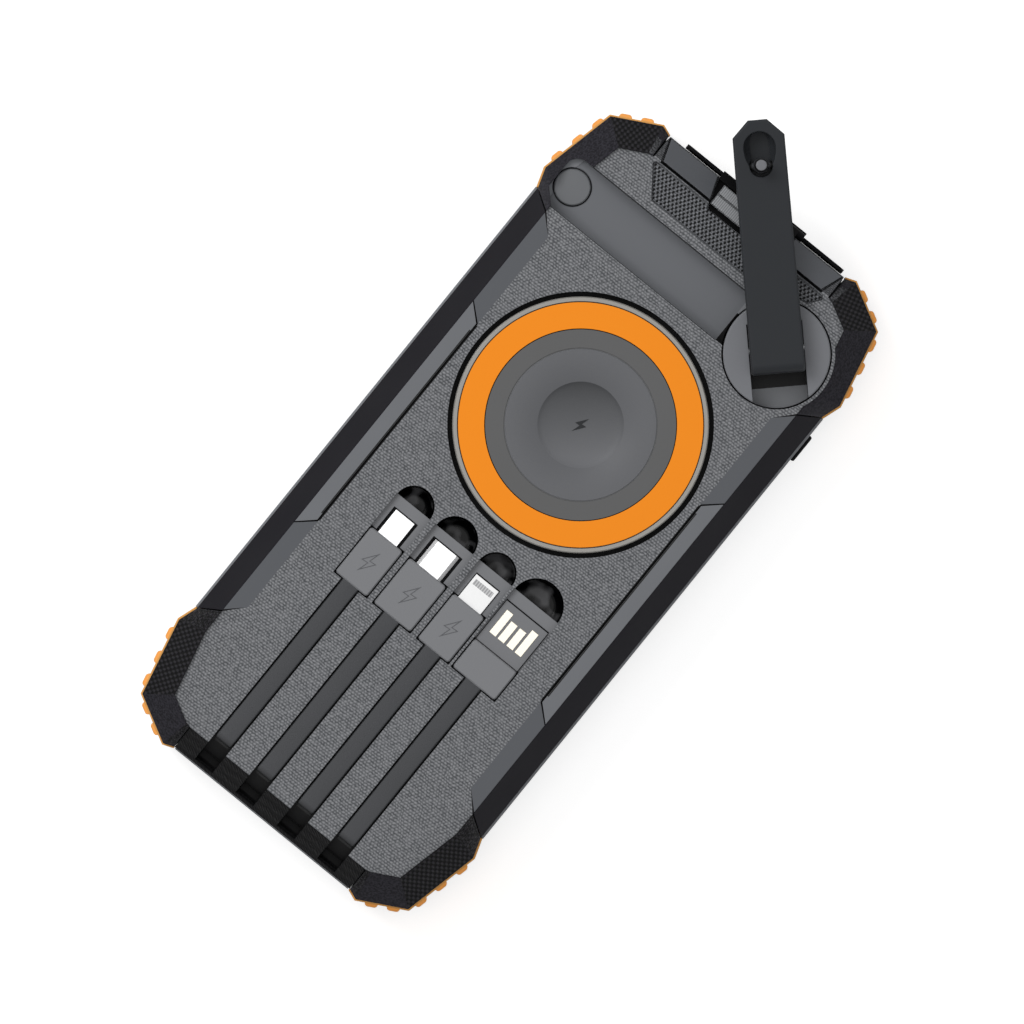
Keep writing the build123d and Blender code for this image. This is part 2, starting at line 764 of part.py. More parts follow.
guard_top = face_z + guard_proud
guard_reach = 17.0
field_cut = prism(field_outline, face_z - 1, above)
for end, end_name in ((1, "top"), (-1, "bottom")):
    for side, side_name in ((-1, "left"), (1, "right")):
        outer = corner(guard_outer, side, end)
        inner = corner(guard_inner, side, end)
        way = side * end
        lower = outer + [(side * (half_width - guard_reach), outer[-1][1])]
        upper = inner + [(side * (half_width - guard_reach), inner[-1][1])]
        strip = shifted(outer, way * bumper_proud) + list(reversed(shifted(outer, -way * bumper_depth)))
        strip_block = prism(strip, bumper_low, bumper_high)

        with BuildPart() as corner_guard:
            add(prism(lower, 0, shoulder_z))
            with BuildSketch(Plane.XY.offset(shoulder_z)):
                with BuildLine():
                    Polyline(*lower, close=True)
                make_face()
            with BuildSketch(Plane.XY.offset(guard_top)):
                with BuildLine():
                    Polyline(*upper, close=True)
                make_face()
            loft(ruled=True)
            for form in (case_form.part, frame_form, tray_form, field_cut, collar_space, strip_block):
                add(form, mode=Mode.SUBTRACT)
            if (side, end) == (-1, 1):
                add(channel_space.part, mode=Mode.SUBTRACT)
                add(cap_seat_hole, mode=Mode.SUBTRACT)
        save(corner_guard, f"corner_guard_{end_name}_{side_name}")

        with BuildPart() as corner_bumper:
            add(strip_block)
            studs = [(edge, share) for edge, shares in enumerate(stud_shares) for share in shares]
            for edge, share in studs:
                (x1, y1), (x2, y2) = outer[edge], outer[edge + 1]
                turn = atan2(y2 - y1, x2 - x1)
                spot_x = x1 + share * (x2 - x1) - way * stud_shift * sin(turn)
                spot_y = y1 + share * (y2 - y1) + way * stud_shift * cos(turn)
                with BuildSketch(Plane.XY.offset(bumper_low + stud_margin)):
                    with Locations(Location((spot_x, spot_y, 0), (0, 0, degrees(turn)))):
                        RectangleRounded(stud_length, stud_width, stud_height)
                extrude(amount=bumper_high - bumper_low - 2 * stud_margin)
            add(frame_form, mode=Mode.SUBTRACT)
            add(tray_form, mode=Mode.SUBTRACT)
            add(case_form.part, mode=Mode.SUBTRACT)
        save(corner_bumper, f"corner_bumper_{end_name}_{side_name}")

# ---------------------------------------------------------------- port strap and flap

flap_y = top_y + frame_top_proud + flap_gap + flap_thickness / 2


def notch_floor(y):
    """Height of the sloping floor of the notch."""
    drop = (end_slope_z - face_z) / (top_y + 1 - notch_y)
    return face_z - strap_depth + drop * (y - notch_y)


nose_reach = 0.7
nose_lift = 0.9
strap_inner_y = notch_y + strap_gap
nose_inner_y = top_y - 0.3
strap_profile = [
    (strap_inner_y, notch_floor(strap_inner_y)),
    (top_y, notch_floor(top_y)),
    (top_y, flap_pivot_z),
    (flap_y, flap_pivot_z),
    (flap_y + nose_reach, flap_pivot_z + nose_lift),
    (flap_y + nose_reach, notch_floor(flap_y + nose_reach) + strap_thickness),
    (nose_inner_y, notch_floor(nose_inner_y) + strap_thickness),
    (nose_inner_y, notch_floor(nose_inner_y) + strap_base),
    (strap_inner_y, notch_floor(strap_inner_y) + strap_base),
]
strap_plan = [
    (strap_gap - notch_half, flap_y + nose_reach),
    (strap_gap - notch_half, top_y),
    (strap_gap - notch_half + notch_lean, strap_inner_y),
    (notch_half - notch_lean - strap_gap, strap_inner_y),
    (notch_half - strap_gap, top_y),
    (notch_half - strap_gap, flap_y + nose_reach),
]
with BuildPart() as port_strap:
    add(bar(strap_profile, -notch_half, notch_half))
    add(prism(strap_plan, 0, above), mode=Mode.INTERSECT)
    for rib_low_y, rib_high_y in rib_rows:
        rib = [
            (rib_low_y, notch_floor(rib_low_y) + strap_base / 2),
            (rib_high_y, notch_floor(rib_high_y) + strap_base / 2),
            (rib_high_y, notch_floor(rib_high_y) + strap_thickness + rib_height),
            (rib_low_y, notch_floor(rib_low_y) + strap_thickness + rib_height),
        ]
        add(bar(rib, -rib_half, rib_half))
    with BuildSketch(Plane.YZ.offset(-notch_half)):
        with Locations((flap_y, flap_pivot_z)):
            Circle(bead_radius + bead_gap)
    extrude(amount=2 * notch_half, mode=Mode.SUBTRACT)
save(port_strap, "port_strap")

flap_round = 2.0
lip_low_x = 7.4
lip_drop = 1.4
lip_height = 1.8
lip_proud = 1.0
with BuildPart() as port_flap:
    with BuildSketch(Plane.XZ.offset(-flap_y - flap_thickness / 2)):
        with Locations(((flap_low_x + flap_high_x) / 2, (flap_bottom + flap_top) / 2)):
            RectangleRounded(flap_high_x - flap_low_x, flap_top - flap_bottom, flap_round)
        with Locations(((neck_low_x + neck_high_x) / 2, (flap_top - flap_round + flap_pivot_z) / 2)):
            Rectangle(neck_high_x - neck_low_x, flap_pivot_z - flap_top + flap_round)
    extrude(amount=flap_thickness)
    add(slab(lip_low_x, neck_high_x, flap_y, flap_y + flap_thickness / 2 + lip_proud,
             flap_pivot_z - lip_drop - lip_height, flap_pivot_z - lip_drop))
    with BuildSketch(Plane.YZ.offset(neck_low_x)):
        with Locations((flap_y, flap_pivot_z)):
            Circle(bead_radius)
    extrude(amount=neck_high_x - neck_low_x)
save(port_flap, "port_flap")

# ---------------------------------------------------------------- wireless pad

pad_top = face_z + pad_proud
pad_under = pad_top - pad_skin
pad_edge = 0.25
pad_post = coil_inner_radius - coil_gap
pad_rim = pad_disc_radius - coil_outer_radius - coil_gap
band_wall = 0.5
with BuildPart() as pad_ring:
    add(tube(pad_ring_outer, pad_floor, pad_top, pad_ring_inner, y=pad_y))
    chamfer(pad_ring.edges().group_by(Axis.Z)[-1], pad_edge)
save(pad_ring, "pad_ring")

with BuildPart() as pad_band:
    add(tube(pad_ring_inner, pad_floor, pad_top, pad_band_inner, y=pad_y))
    add(tube(pad_ring_inner - band_wall, pad_floor, pad_under, pad_band_inner + band_wall, y=pad_y),
        mode=Mode.SUBTRACT)
save(pad_band, "pad_band")

with BuildPart() as pad_disc:
    add(tube(pad_disc_radius, pad_under, pad_top, y=pad_y))
    add(tube(pad_disc_radius, pad_floor, pad_under, pad_disc_radius - pad_rim, y=pad_y))
    add(tube(pad_post, pad_floor, pad_under, y=pad_y))
    add(tube(dish_radius, pad_top - dish_depth, pad_top, y=pad_y), mode=Mode.SUBTRACT)
save(pad_disc, "pad_disc")

with BuildPart() as charge_coil:
    add(tube(coil_outer_radius, pad_floor, pad_under, coil_inner_radius, y=pad_y))
save(charge_coil, "charge_coil")

magnet_gap = 2 * magnet_inner * tan(radians(magnet_gap_angle / 2))
with BuildPart() as pad_magnets:
    with BuildSketch(Plane.XY.offset(pad_floor)):
        with Locations((0, pad_y)):
            Circle(magnet_outer)
            Circle(magnet_inner, mode=Mode.SUBTRACT)
            with PolarLocations(magnet_outer, magnet_count):
                Rectangle(2 * (magnet_outer - coil_inner_radius), magnet_gap, mode=Mode.SUBTRACT)
    extrude(amount=pad_under - pad_floor)
save(pad_magnets, "pad_magnets")

# ---------------------------------------------------------------- crank

turn_cos, turn_sin = cos(radians(arm_angle)), sin(radians(arm_angle))
pin_x = hub_x + pin_ahead * turn_cos
pin_y = hub_y + pin_ahead * turn_sin
pin_middle = (pin_x, pin_y, pin_z)
along_arm = (turn_cos, turn_sin, 0)
arm_side_plane = Plane(origin=pin_middle, x_dir=along_arm, z_dir=(turn_sin, -turn_cos, 0))
arm_plan_plane = Plane(origin=pin_middle, x_dir=along_arm, z_dir=(0, 0, 1))


def arm_bar(profile, half, low=None):
    """A side profile of (reach, lift) points about the arm's pin, drawn out across the arm."""
    low = -half if low is None else low
    with BuildPart() as block:
        with BuildSketch(arm_side_plane.offset(low)):
            with BuildLine():
                Polyline(*profile, close=True)
            make_face()
        extrude(amount=half - low)
    return block.part


def arm_rod(radius, reach, lift, low, high):
    """A round bar across the arm."""
    with BuildPart() as block:
        with BuildSketch(arm_side_plane.offset(low)):
            with Locations((reach, lift)):
                Circle(radius)
        extrude(amount=high - low)
    return block.part


def arm_tube(radius, reach, low, high):
    """An upright round bar at a place along the arm."""
    with BuildPart() as block:
        with BuildSketch(arm_plan_plane.offset(low)):
            with Locations((reach, 0)):
                Circle(radius)
        extrude(amount=high - low)
    return block.part


hub_top = face_z + hub_proud
slot_floor = channel_floor - pin_z
slot_top = hub_top - pin_z + 1
slot_profile = [
    (-2 * hub_radius, slot_floor),
    (slot_ahead, slot_floor),
    (slot_ahead, slot_top),
    (-2 * hub_radius, slot_top),
]
pin_blind = -8.8
pin_reach = 11.2
hub_shaft_low = plate_low + 0.4
with BuildPart() as crank_hub:
    add(tube(hub_radius, hub_bottom, hub_top, x=hub_x, y=hub_y))
    chamfer(crank_hub.edges().group_by(Axis.Z)[-1], pad_edge)
    add(arm_bar(slot_profile, slot_half), mode=Mode.SUBTRACT)
    pocket = arm_rod(swing_radius, 0, 0, -slot_half, slot_half)
    ahead = arm_bar([(slot_ahead, -hub_radius), (2 * hub_radius, -hub_radius), (2 * hub_radius, hub_radius),
                     (slot_ahead, hub_radius)], slot_half)
    add(pocket - ahead, mode=Mode.SUBTRACT)
    add(arm_rod(pin_radius, 0, 0, pin_blind, hub_radius + 1), mode=Mode.SUBTRACT)
    add(tube(shaft_radius, hub_shaft_low, hub_bottom, x=hub_x, y=hub_y))
save(crank_hub, "crank_hub")

with BuildPart() as arm_pin:
    add(arm_rod(pin_radius, 0, 0, pin_blind, pin_reach))
save(arm_pin, "arm_pin")

arm_under, arm_over = arm_lift, arm_lift + arm_thickness
arm_barrel = 2.1
peg_slot_half = peg_half + peg_gap
peg_slot_end = scoop_end - peg_slot_half
peg_slot_floor = arm_under + 0.6
peg_hole = 2.65
peg_lift = arm_lift + peg_pivot_lift
scoop_reach = scoop_end - scoop_half
scoop_lift = arm_over - 0.2
scoop_rise = 40.0
rise_cos = cos(radians(scoop_rise))
arm_edge = 0.4
with BuildPart() as crank_arm:
    with BuildSketch(arm_plan_plane.offset(arm_under)):
        with BuildLine():
            Polyline(
                (-arm_tail, -arm_base_half),
                (arm_length - arm_tip_cut, -arm_tip_half),
                (arm_length, arm_tip_cut - arm_tip_half),
                (arm_length, arm_tip_half - arm_tip_cut),
                (arm_length - arm_tip_cut, arm_tip_half),
                (-arm_tail, arm_base_half),
                close=True,
            )
        make_face()
    extrude(amount=arm_thickness)
    tail_edge = crank_arm.edges().filter_by(Axis((0, 0, 0), arm_side_plane.z_dir))
    tail_edge = tail_edge.group_by(Axis.Z)[-1].sort_by(Axis(pin_middle, arm_side_plane.x_dir))[0]
    fillet(tail_edge, tail_round)
    chamfer(crank_arm.faces().sort_by(Axis.Z)[-1].edges(), arm_edge)
    add(arm_rod(arm_barrel, 0, 0, -arm_base_half, arm_base_half))
    add(arm_bar([(-arm_barrel, 0), (arm_barrel, 0), (arm_barrel, arm_under), (-arm_barrel, arm_under)],
                arm_base_half))
    add(arm_rod(pin_radius + pin_fit, 0, 0, -arm_base_half, arm_base_half), mode=Mode.SUBTRACT)
    add(arm_tube(peg_hole, peg_reach, peg_slot_floor, arm_over), mode=Mode.SUBTRACT)
    add(arm_bar([(peg_reach, peg_slot_floor), (peg_slot_end, peg_slot_floor), (peg_slot_end, arm_over),
                 (peg_reach, arm_over)], peg_slot_half), mode=Mode.SUBTRACT)
    add(arm_tube(peg_slot_half, peg_slot_end, peg_slot_floor, arm_over), mode=Mode.SUBTRACT)
    add(arm_rod(trunnion_radius + pin_fit, peg_reach, peg_lift, -trunnion_half, trunnion_half),
        mode=Mode.SUBTRACT)
    scoop_point = arm_side_plane.from_local_coords(Vector(scoop_reach, scoop_lift, 0))
    with Locations(Location(scoop_point)):
        Sphere(scoop_half, mode=Mode.SUBTRACT)
    scoop_line = Plane(
        origin=scoop_point,
        z_dir=(-turn_cos * rise_cos, -turn_sin * rise_cos, sin(radians(scoop_rise))),
    )
    with BuildSketch(scoop_line):
        Circle(scoop_half)
    extrude(amount=2 * peg_length, mode=Mode.SUBTRACT)
save(crank_arm, "crank_arm")

peg_tip_round = 0.5
with BuildPart() as crank_peg:
    with BuildSketch(arm_side_plane):
        with BuildLine():
            Polyline(
                (peg_reach, peg_lift),
                (peg_reach + peg_half - peg_gap / 2, peg_lift),
                (peg_reach + peg_tip_radius, peg_lift + peg_length),
                (peg_reach, peg_lift + peg_length),
                close=True,
            )
        make_face()
    peg_axis = Axis(arm_side_plane.from_local_coords(Vector(peg_reach, 0, 0)), (0, 0, 1))
    revolve(axis=peg_axis)
    fillet(crank_peg.edges().group_by(Axis.Z)[-1], peg_tip_round)
    with Locations(Location(arm_side_plane.from_local_coords(Vector(peg_reach, peg_lift, 0)))):
        Sphere(peg_half - peg_gap / 2)
    add(arm_rod(trunnion_radius, peg_reach, peg_lift, -trunnion_half, trunnion_half))
save(crank_peg, "crank_peg")

bush_low = hub_well_low
with BuildPart() as hub_bush:
    add(tube(bush_outer, bush_low, hub_seat, x=hub_x, y=hub_y))
    add(tube(bush_outer + bush_flange, hub_seat, hub_seat + bush_flange_thickness, x=hub_x, y=hub_y))
    add(tube(shaft_radius + running_fit, bush_low, hub_seat + bush_flange_thickness, x=hub_x, y=hub_y),
        mode=Mode.SUBTRACT)
save(hub_bush, "hub_bush")

with BuildPart() as channel_cap:
    add(tube(cap_radius, cap_low, cap_low + cap_thickness, x=cap_x, y=cap_y))
    chamfer(channel_cap.edges().group_by(Axis.Z)[-1], pad_edge)
save(channel_cap, "channel_cap")

# ---------------------------------------------------------------- gears and generator

drive_radius = module * drive_teeth / 2
pinion_radius = module * pinion_teeth / 2
wheel_radius = module * idler_teeth / 2
rotor_radius = module * rotor_teeth / 2
idler_x = hub_x - drive_radius - pinion_radius
rotor_x = idler_x - wheel_radius - rotor_radius
flank_points = 3


def involute(angle):
    return tan(angle) - angle


def gear_outline(teeth, phase):
    """A spur gear's outline about the origin, with the middle of a tooth at the phase angle."""
    pitch = module * teeth / 2
    base = pitch * cos(radians(pressure_angle))
    tip, root = pitch + addendum * module, pitch - dedendum * module
    start = max(base, root)
    half = (pi * module / 2 - backlash / 2) / (2 * pitch) + involute(radians(pressure_angle))
    flank = []
    for i in range(flank_points):
        radius = start + (tip - start) * i / (flank_points - 1)
        flank.append((radius, half - involute(acos(base / radius))))
    if root < base:
        flank.insert(0, (root, half))
    points = []
    for tooth in range(teeth):
        middle = radians(phase) + 2 * pi * tooth / teeth
        points += [(r * cos(middle - a), r * sin(middle - a)) for r, a in flank]
        points += [(r * cos(middle + a), r * sin(middle + a)) for r, a in reversed(flank)]
    return points


def gear(teeth, phase, low, height, x, y):
    with BuildPart() as block:
        with BuildSketch(Plane.XY.offset(low)):
            with Locations((x, y)):
                with BuildLine():
                    Polyline(*gear_outline(teeth, phase), close=True)
                make_face()
        extrude(amount=height)
    return block.part.moved(Location((x, y, 0)))


plate_top = plate_low + plate_thickness
wheel_gap = 0.05
idler_collar = 1.9
with BuildPart() as drive_gear:
    add(gear(drive_teeth, 180, gear_low, gear_height, hub_x, hub_y))
    add(tube(shaft_radius, gear_low, gear_low + gear_height, x=hub_x, y=hub_y), mode=Mode.SUBTRACT)
save(drive_gear, "drive_gear")

with BuildPart() as idler_gear:
    add(gear(pinion_teeth, 180 / pinion_teeth, gear_low, gear_height, idler_x, hub_y))
    add(gear(idler_teeth, 180, idler_low, idler_height, idler_x, hub_y))
    add(tube(idler_collar, plate_top + wheel_gap, gear_low, x=idler_x, y=hub_y))
    add(tube(axle_radius + running_fit, plate_low, gear_low + gear_height + 1, x=idler_x, y=hub_y),
        mode=Mode.SUBTRACT)
save(idler_gear, "idler_gear")

axle_head = (1.8, 0.45)
axle_top = gear_low + gear_height + wheel_gap
with BuildPart() as idler_axle:
    add(tube(axle_radius, plate_low, axle_top, x=idler_x, y=hub_y))
    add(tube(axle_head[0], axle_top, axle_top + axle_head[1], x=idler_x, y=hub_y))
save(idler_axle, "idler_axle")

plate_hole = 0.1
plate_corner = 3.0
plate_low_x = pillars[0][0] - plate_margin
plate_high_x = pillars[3][0] + plate_margin
plate_low_y = pillars[0][1] - plate_margin
plate_high_y = pillars[1][1] + plate_margin
with BuildPart() as gear_plate:
    with BuildSketch(Plane.XY.offset(plate_low)):
        with Locations(((plate_low_x + plate_high_x) / 2, (plate_low_y + plate_high_y) / 2)):
            RectangleRounded(plate_high_x - plate_low_x, plate_high_y - plate_low_y, plate_corner)
        with Locations(*pillars):
            Circle(screw_radius + plate_hole, mode=Mode.SUBTRACT)
        with Locations((hub_x, hub_y)):
            Circle(shaft_radius + running_fit, mode=Mode.SUBTRACT)
        with Locations((idler_x, hub_y)):
            Circle(axle_radius, mode=Mode.SUBTRACT)
        with Locations((rotor_x, hub_y)):
            Circle(axle_radius + running_fit, mode=Mode.SUBTRACT)
    extrude(amount=plate_thickness)
save(gear_plate, "gear_plate")

cross_width, cross_depth = 0.6, 0.6
with BuildPart() as gear_screws:
    for x, y in pillars:
        add(tube(screw_radius, plate_low - screw_length, plate_top, x=x, y=y))
        add(tube(screw_head, plate_top, plate_top + screw_head_height, x=x, y=y))
        for reach_x, reach_y in ((screw_head, cross_width), (cross_width, screw_head)):
            cross = slab(x - reach_x / 2, x + reach_x / 2, y - reach_y / 2, y + reach_y / 2,
                         plate_top + screw_head_height - cross_depth, plate_top + screw_head_height)
            add(cross, mode=Mode.SUBTRACT)
save(gear_screws, "gear_screws")

can_floor = board_top + can_wall
bearing_radius, bearing_height = 2.2, 1.2
with BuildPart() as generator_can:
    add(tube(generator_radius, board_top, plate_low, x=rotor_x, y=hub_y))
    add(tube(generator_radius - can_wall, can_floor, plate_low, x=rotor_x, y=hub_y), mode=Mode.SUBTRACT)
    add(tube(bearing_radius, can_floor, can_floor + bearing_height, axle_radius + running_fit,
             rotor_x, hub_y))
save(generator_can, "generator_can")

with BuildPart() as generator_coils:
    with BuildSketch(Plane.XY.offset(can_floor)):
        with Locations((rotor_x, hub_y)):
            with PolarLocations(coil_ring_radius, coil_count):
                Circle(coil_radius)
                Circle(coil_bore, mode=Mode.SUBTRACT)
    extrude(amount=coil_height)
save(generator_coils, "generator_coils")

disc_low = can_floor + coil_height + rotor_gap
disc_radius = generator_radius - can_wall - 2 * rotor_gap
rotor_pinion_low = plate_top + 0.5
rotor_pinion_high = idler_low + idler_height + 0.1
with BuildPart() as generator_rotor:
    add(tube(axle_radius, can_floor + thrust_gap, rotor_pinion_high, x=rotor_x, y=hub_y))
    add(tube(disc_radius, disc_low, disc_low + rotor_height, x=rotor_x, y=hub_y))
    add(gear(rotor_teeth, 180 / rotor_teeth, rotor_pinion_low, rotor_pinion_high - rotor_pinion_low,
             rotor_x, hub_y))
save(generator_rotor, "generator_rotor")

# ---------------------------------------------------------------- built-in leads

plug_bottom = face_z - plug_thickness
plug_corner = 0.7
plug_edge = 0.3
head_top = face_z - head_drop
head_shell = 0.35
head_cavity = 6.0
tongue_share = 0.4
head_cut_share = {"micro": 0.32, "type_c": 0.3, "slim": 0.15, "usb": 0.05}


def head_form(x, half, low, high, back, front, share, round_top):
    """A connector shell: a flat box with its lower long edges cut, or all four."""
    block = slab(x - half, x + half, back, front, low, high)
    long_edges = block.edges().filter_by(Axis.Y)
    cuts = long_edges if round_top else long_edges.group_by(Axis.Z)[0]
    return chamfer(cuts, share * (high - low))


for name, x, half, head_half, head_back, head_thickness, scoop_radius in leads:
    front = usb_plug_front if name == "usb" else plug_front
    head_front = scoop_y - head_back
    head_low = head_top - head_thickness
    share = head_cut_share[name]
    round_top = name == "type_c"
    outer_shell = head_form(x, head_half, head_low, head_top, front - head_root, head_front, share, round_top)
    inner_shell = head_form(x, head_half - head_shell, head_low + head_shell, head_top - head_shell,
                            head_front - head_cavity, head_front, share, round_top)
    tongue_half = head_half - 3 * head_shell
    tongue_high = head_top - head_shell
    tongue_low = tongue_high - tongue_share * (head_thickness - 2 * head_shell)

    with BuildPart() as cable:
        add(slab(x - cable_width / 2, x + cable_width / 2, lead_pivot_y, plug_back,
                 lead_top - cable_thickness, lead_top))
        with BuildSketch(Plane.YZ.offset(x - cable_width / 2)):
            with Locations((lead_pivot_y, lead_pivot_z)):
                Circle(cable_thickness / 2)
        extrude(amount=cable_width)
    save(cable, f"cable_{name}")

    with BuildPart() as plug:
        with BuildSketch(Plane.XY.offset(plug_bottom)):
            with Locations((x, (plug_back + front) / 2)):
                RectangleRounded(2 * half, front - plug_back, plug_corner)
        extrude(amount=plug_thickness)
        chamfer(plug.edges().group_by(Axis.Z)[-1], plug_edge)
        add(outer_shell, mode=Mode.SUBTRACT)
    save(plug, f"plug_{name}")

    with BuildPart() as head:
        add(outer_shell)
        if name != "slim":
            add(inner_shell, mode=Mode.SUBTRACT)
            add(slab(x - tongue_half, x + tongue_half, head_front - head_cavity, head_front - head_shell,
                     tongue_low, tongue_high))
    save(head, f"head_{name}")

usb_lead_x = leads[3][1]
contact_back = scoop_y - 11.2
contact_outer = (2.75, 4.55, contact_back, scoop_y - 4.8)
contact_inner = (0.35, 2.15, contact_back, scoop_y - 6.2)
with BuildPart() as usb_contacts:
    for low_x, high_x, low_y, high_y in (contact_outer, contact_inner):
        for side in (1, -1):
            edges = sorted((usb_lead_x + side * low_x, usb_lead_x + side * high_x))
            add(slab(edges[0], edges[1], low_y, high_y, head_top, head_top + contact_thickness))
save(usb_contacts, "usb_contacts")

with BuildPart() as cable_roots:
    for lead in leads:
        add(bar(root_profile, lead[1] - cable_width / 2, lead[1] + cable_width / 2))
save(cable_roots, "cable_roots")

# ---------------------------------------------------------------- board, sockets, cells and button

board_hole = 0.3
board_outline = both_sides([
    (board_half - board_cut[0], board_high_y),
    (board_half, board_high_y - board_cut[1]),
    (board_half, board_low_y),
])
with BuildPart() as main_board:
    with BuildSketch(Plane.XY.offset(board_z)):
        with BuildLine():
            Polyline(*board_outline, close=True)
        make_face()
        with Locations(*pillars):
            Circle(leg_radius + board_hole, mode=Mode.SUBTRACT)
    extrude(amount=board_thickness)
save(main_board, "main_board")

tongue_depth_gap = 1.0
for name, (x, width, height, depth), tongue in (
    ("usb_socket", usb_socket, (11.1, 1.8, 1.3)),
    ("type_c_socket", type_c_socket, (6.7, 0.7, 0.95)),
):
    tongue_width, tongue_thick, tongue_drop = tongue
    corner_round = 0.3 if name == "usb_socket" else height / 2 - 0.05
    tongue_z = board_top + height - socket_shell - tongue_drop + (0.4 if name == "usb_socket" else 0.0)
    with BuildPart() as socket:
        with BuildSketch(Plane.XZ.offset(-socket_front)):
            with Locations((x, board_top + height / 2)):
                RectangleRounded(width, height, corner_round)
        extrude(amount=depth)
        with BuildSketch(Plane.XZ.offset(-socket_front)):
            with Locations((x, board_top + height / 2)):
                RectangleRounded(width - 2 * socket_shell, height - 2 * socket_shell,
                                 max(corner_round - socket_shell, 0.1))
        extrude(amount=depth - tongue_depth_gap, mode=Mode.SUBTRACT)
        add(slab(x - tongue_width / 2, x + tongue_width / 2, socket_front - depth + tongue_depth_gap,
                 socket_front - tongue_depth_gap, tongue_z - tongue_thick, tongue_z))
    save(socket, name)

with BuildPart() as battery_cells:
    for low in (tray_inside, tray_inside + cell_height + thrust_gap):
        with BuildSketch(Plane.XZ.offset(-cell_high_y)):
            with Locations((0, low + cell_height / 2)):
                RectangleRounded(2 * cell_half, cell_height, cell_round)
        extrude(amount=cell_high_y - cell_low_y)
save(battery_cells, "battery_cells")

wall_inner_x = half_width - skin - wall
flange_thickness = 0.7
flange_gap = 0.1
flange_lip = 1.0
flange_x = wall_inner_x - flange_gap - flange_thickness
button_edge = 0.3
with BuildPart() as power_button:
    with BuildSketch(Plane.YZ.offset(flange_x)):
        with Locations((button_y, button_z)):
            RectangleRounded(button_length, button_height, button_height / 2 - 0.05)
    extrude(amount=button_x + button_proud - flange_x)
    chamfer(power_button.edges().group_by(Axis.X)[-1], button_edge)
    with BuildSketch(Plane.YZ.offset(flange_x)):
        with Locations((button_y, button_z)):
            RectangleRounded(button_length + 2 * flange_lip, button_height + 2 * flange_lip, flange_lip)
    extrude(amount=flange_thickness)
save(power_button, "power_button")

switch_half = 3.0
switch_low_x = board_half - 2.0
plunger_length = 1.0
plunger_radius = 1.2
switch_face = flange_x - button_travel - switch_gap
with BuildPart() as button_switch:
    add(slab(switch_low_x, switch_face - plunger_length, button_y - switch_half, button_y + switch_half,
             board_top, button_z + switch_half))
    with BuildSketch(Plane.YZ.offset(switch_face - plunger_length)):
        with Locations((button_y, button_z)):
            Circle(plunger_radius)
    extrude(amount=plunger_length)
save(button_switch, "button_switch")
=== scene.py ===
from math import cos, pi, radians, sin

import bpy
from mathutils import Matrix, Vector


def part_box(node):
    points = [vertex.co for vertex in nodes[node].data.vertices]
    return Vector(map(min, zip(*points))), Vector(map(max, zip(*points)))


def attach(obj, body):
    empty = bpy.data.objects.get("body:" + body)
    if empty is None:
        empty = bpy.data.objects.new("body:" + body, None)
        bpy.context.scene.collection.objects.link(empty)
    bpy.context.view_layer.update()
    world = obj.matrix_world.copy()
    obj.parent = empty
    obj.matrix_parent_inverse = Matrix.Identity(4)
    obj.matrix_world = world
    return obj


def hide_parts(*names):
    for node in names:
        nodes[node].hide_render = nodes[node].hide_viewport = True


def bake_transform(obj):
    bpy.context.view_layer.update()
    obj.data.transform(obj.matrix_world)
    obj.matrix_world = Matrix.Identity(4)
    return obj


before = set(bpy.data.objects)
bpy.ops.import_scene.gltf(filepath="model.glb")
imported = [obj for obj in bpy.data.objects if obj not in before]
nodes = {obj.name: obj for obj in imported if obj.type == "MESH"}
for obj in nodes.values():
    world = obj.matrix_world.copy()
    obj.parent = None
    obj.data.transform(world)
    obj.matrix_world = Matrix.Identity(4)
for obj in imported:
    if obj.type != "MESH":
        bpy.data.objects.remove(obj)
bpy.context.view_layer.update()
mm = 0.001


def middleOf(nodeName):
    low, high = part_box(nodeName)
    return (low + high) / 2


# heights and places that the pieces share, read from the frame
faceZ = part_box("back_cover")[1].z
padCentre = middleOf("pad_ring")
hubCentre = middleOf("crank_hub")
pegCentre = middleOf("crank_peg")
capCentre = middleOf("channel_cap")
capLow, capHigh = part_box("channel_cap")
leadNames = ["micro", "type_c", "slim", "usb"]

# camera, straight down on the back face
camera = {
    "turn": 39.03,            # degrees, the case lies slanted in the picture
    "aim": (0.35, -0.85),     # mm, the middle of the picture on the face
    "distance": 4.0,          # m above the face
    "pictureWidth": 0.2304,   # m across the face
    "sensor": 36.0,
}
cameraData = bpy.data.cameras.new("topCamera")
cameraData.sensor_width = camera["sensor"]
cameraData.lens = camera["sensor"] * camera["distance"] / camera["pictureWidth"]
cameraObject = bpy.data.objects.new("topCamera", cameraData)
cameraObject.location = (camera["aim"][0] * mm, camera["aim"][1] * mm, faceZ + camera["distance"])
cameraObject.rotation_euler = (0, 0, radians(camera["turn"]))
bpy.context.scene.collection.objects.link(cameraObject)
bpy.context.scene.camera = cameraObject
bpy.context.scene.view_settings.view_transform = "Standard"
print("camera is up")


def linear(hexColour):
    shares = [int(hexColour[i:i + 2], 16) / 255 for i in (0, 2, 4)]
    return tuple(s / 12.92 if s <= 0.04045 else ((s + 0.055) / 1.055) ** 2.4 for s in shares) + (1,)


def deselectAll():
    if bpy.context.object and bpy.context.object.mode != "OBJECT":
        bpy.ops.object.mode_set(mode="OBJECT")
    for each in list(bpy.context.selected_objects):
        each.select_set(False)


def pickOnly(piece):
    deselectAll()
    piece.select_set(True)
    bpy.context.view_layer.objects.active = piece


def editMode(piece, what="FACE"):
    pickOnly(piece)
    bpy.ops.object.mode_set(mode="EDIT")
    bpy.ops.mesh.select_mode(type=what)
    bpy.ops.mesh.select_all(action="SELECT")


def objectMode():
    bpy.ops.object.mode_set(mode="OBJECT")


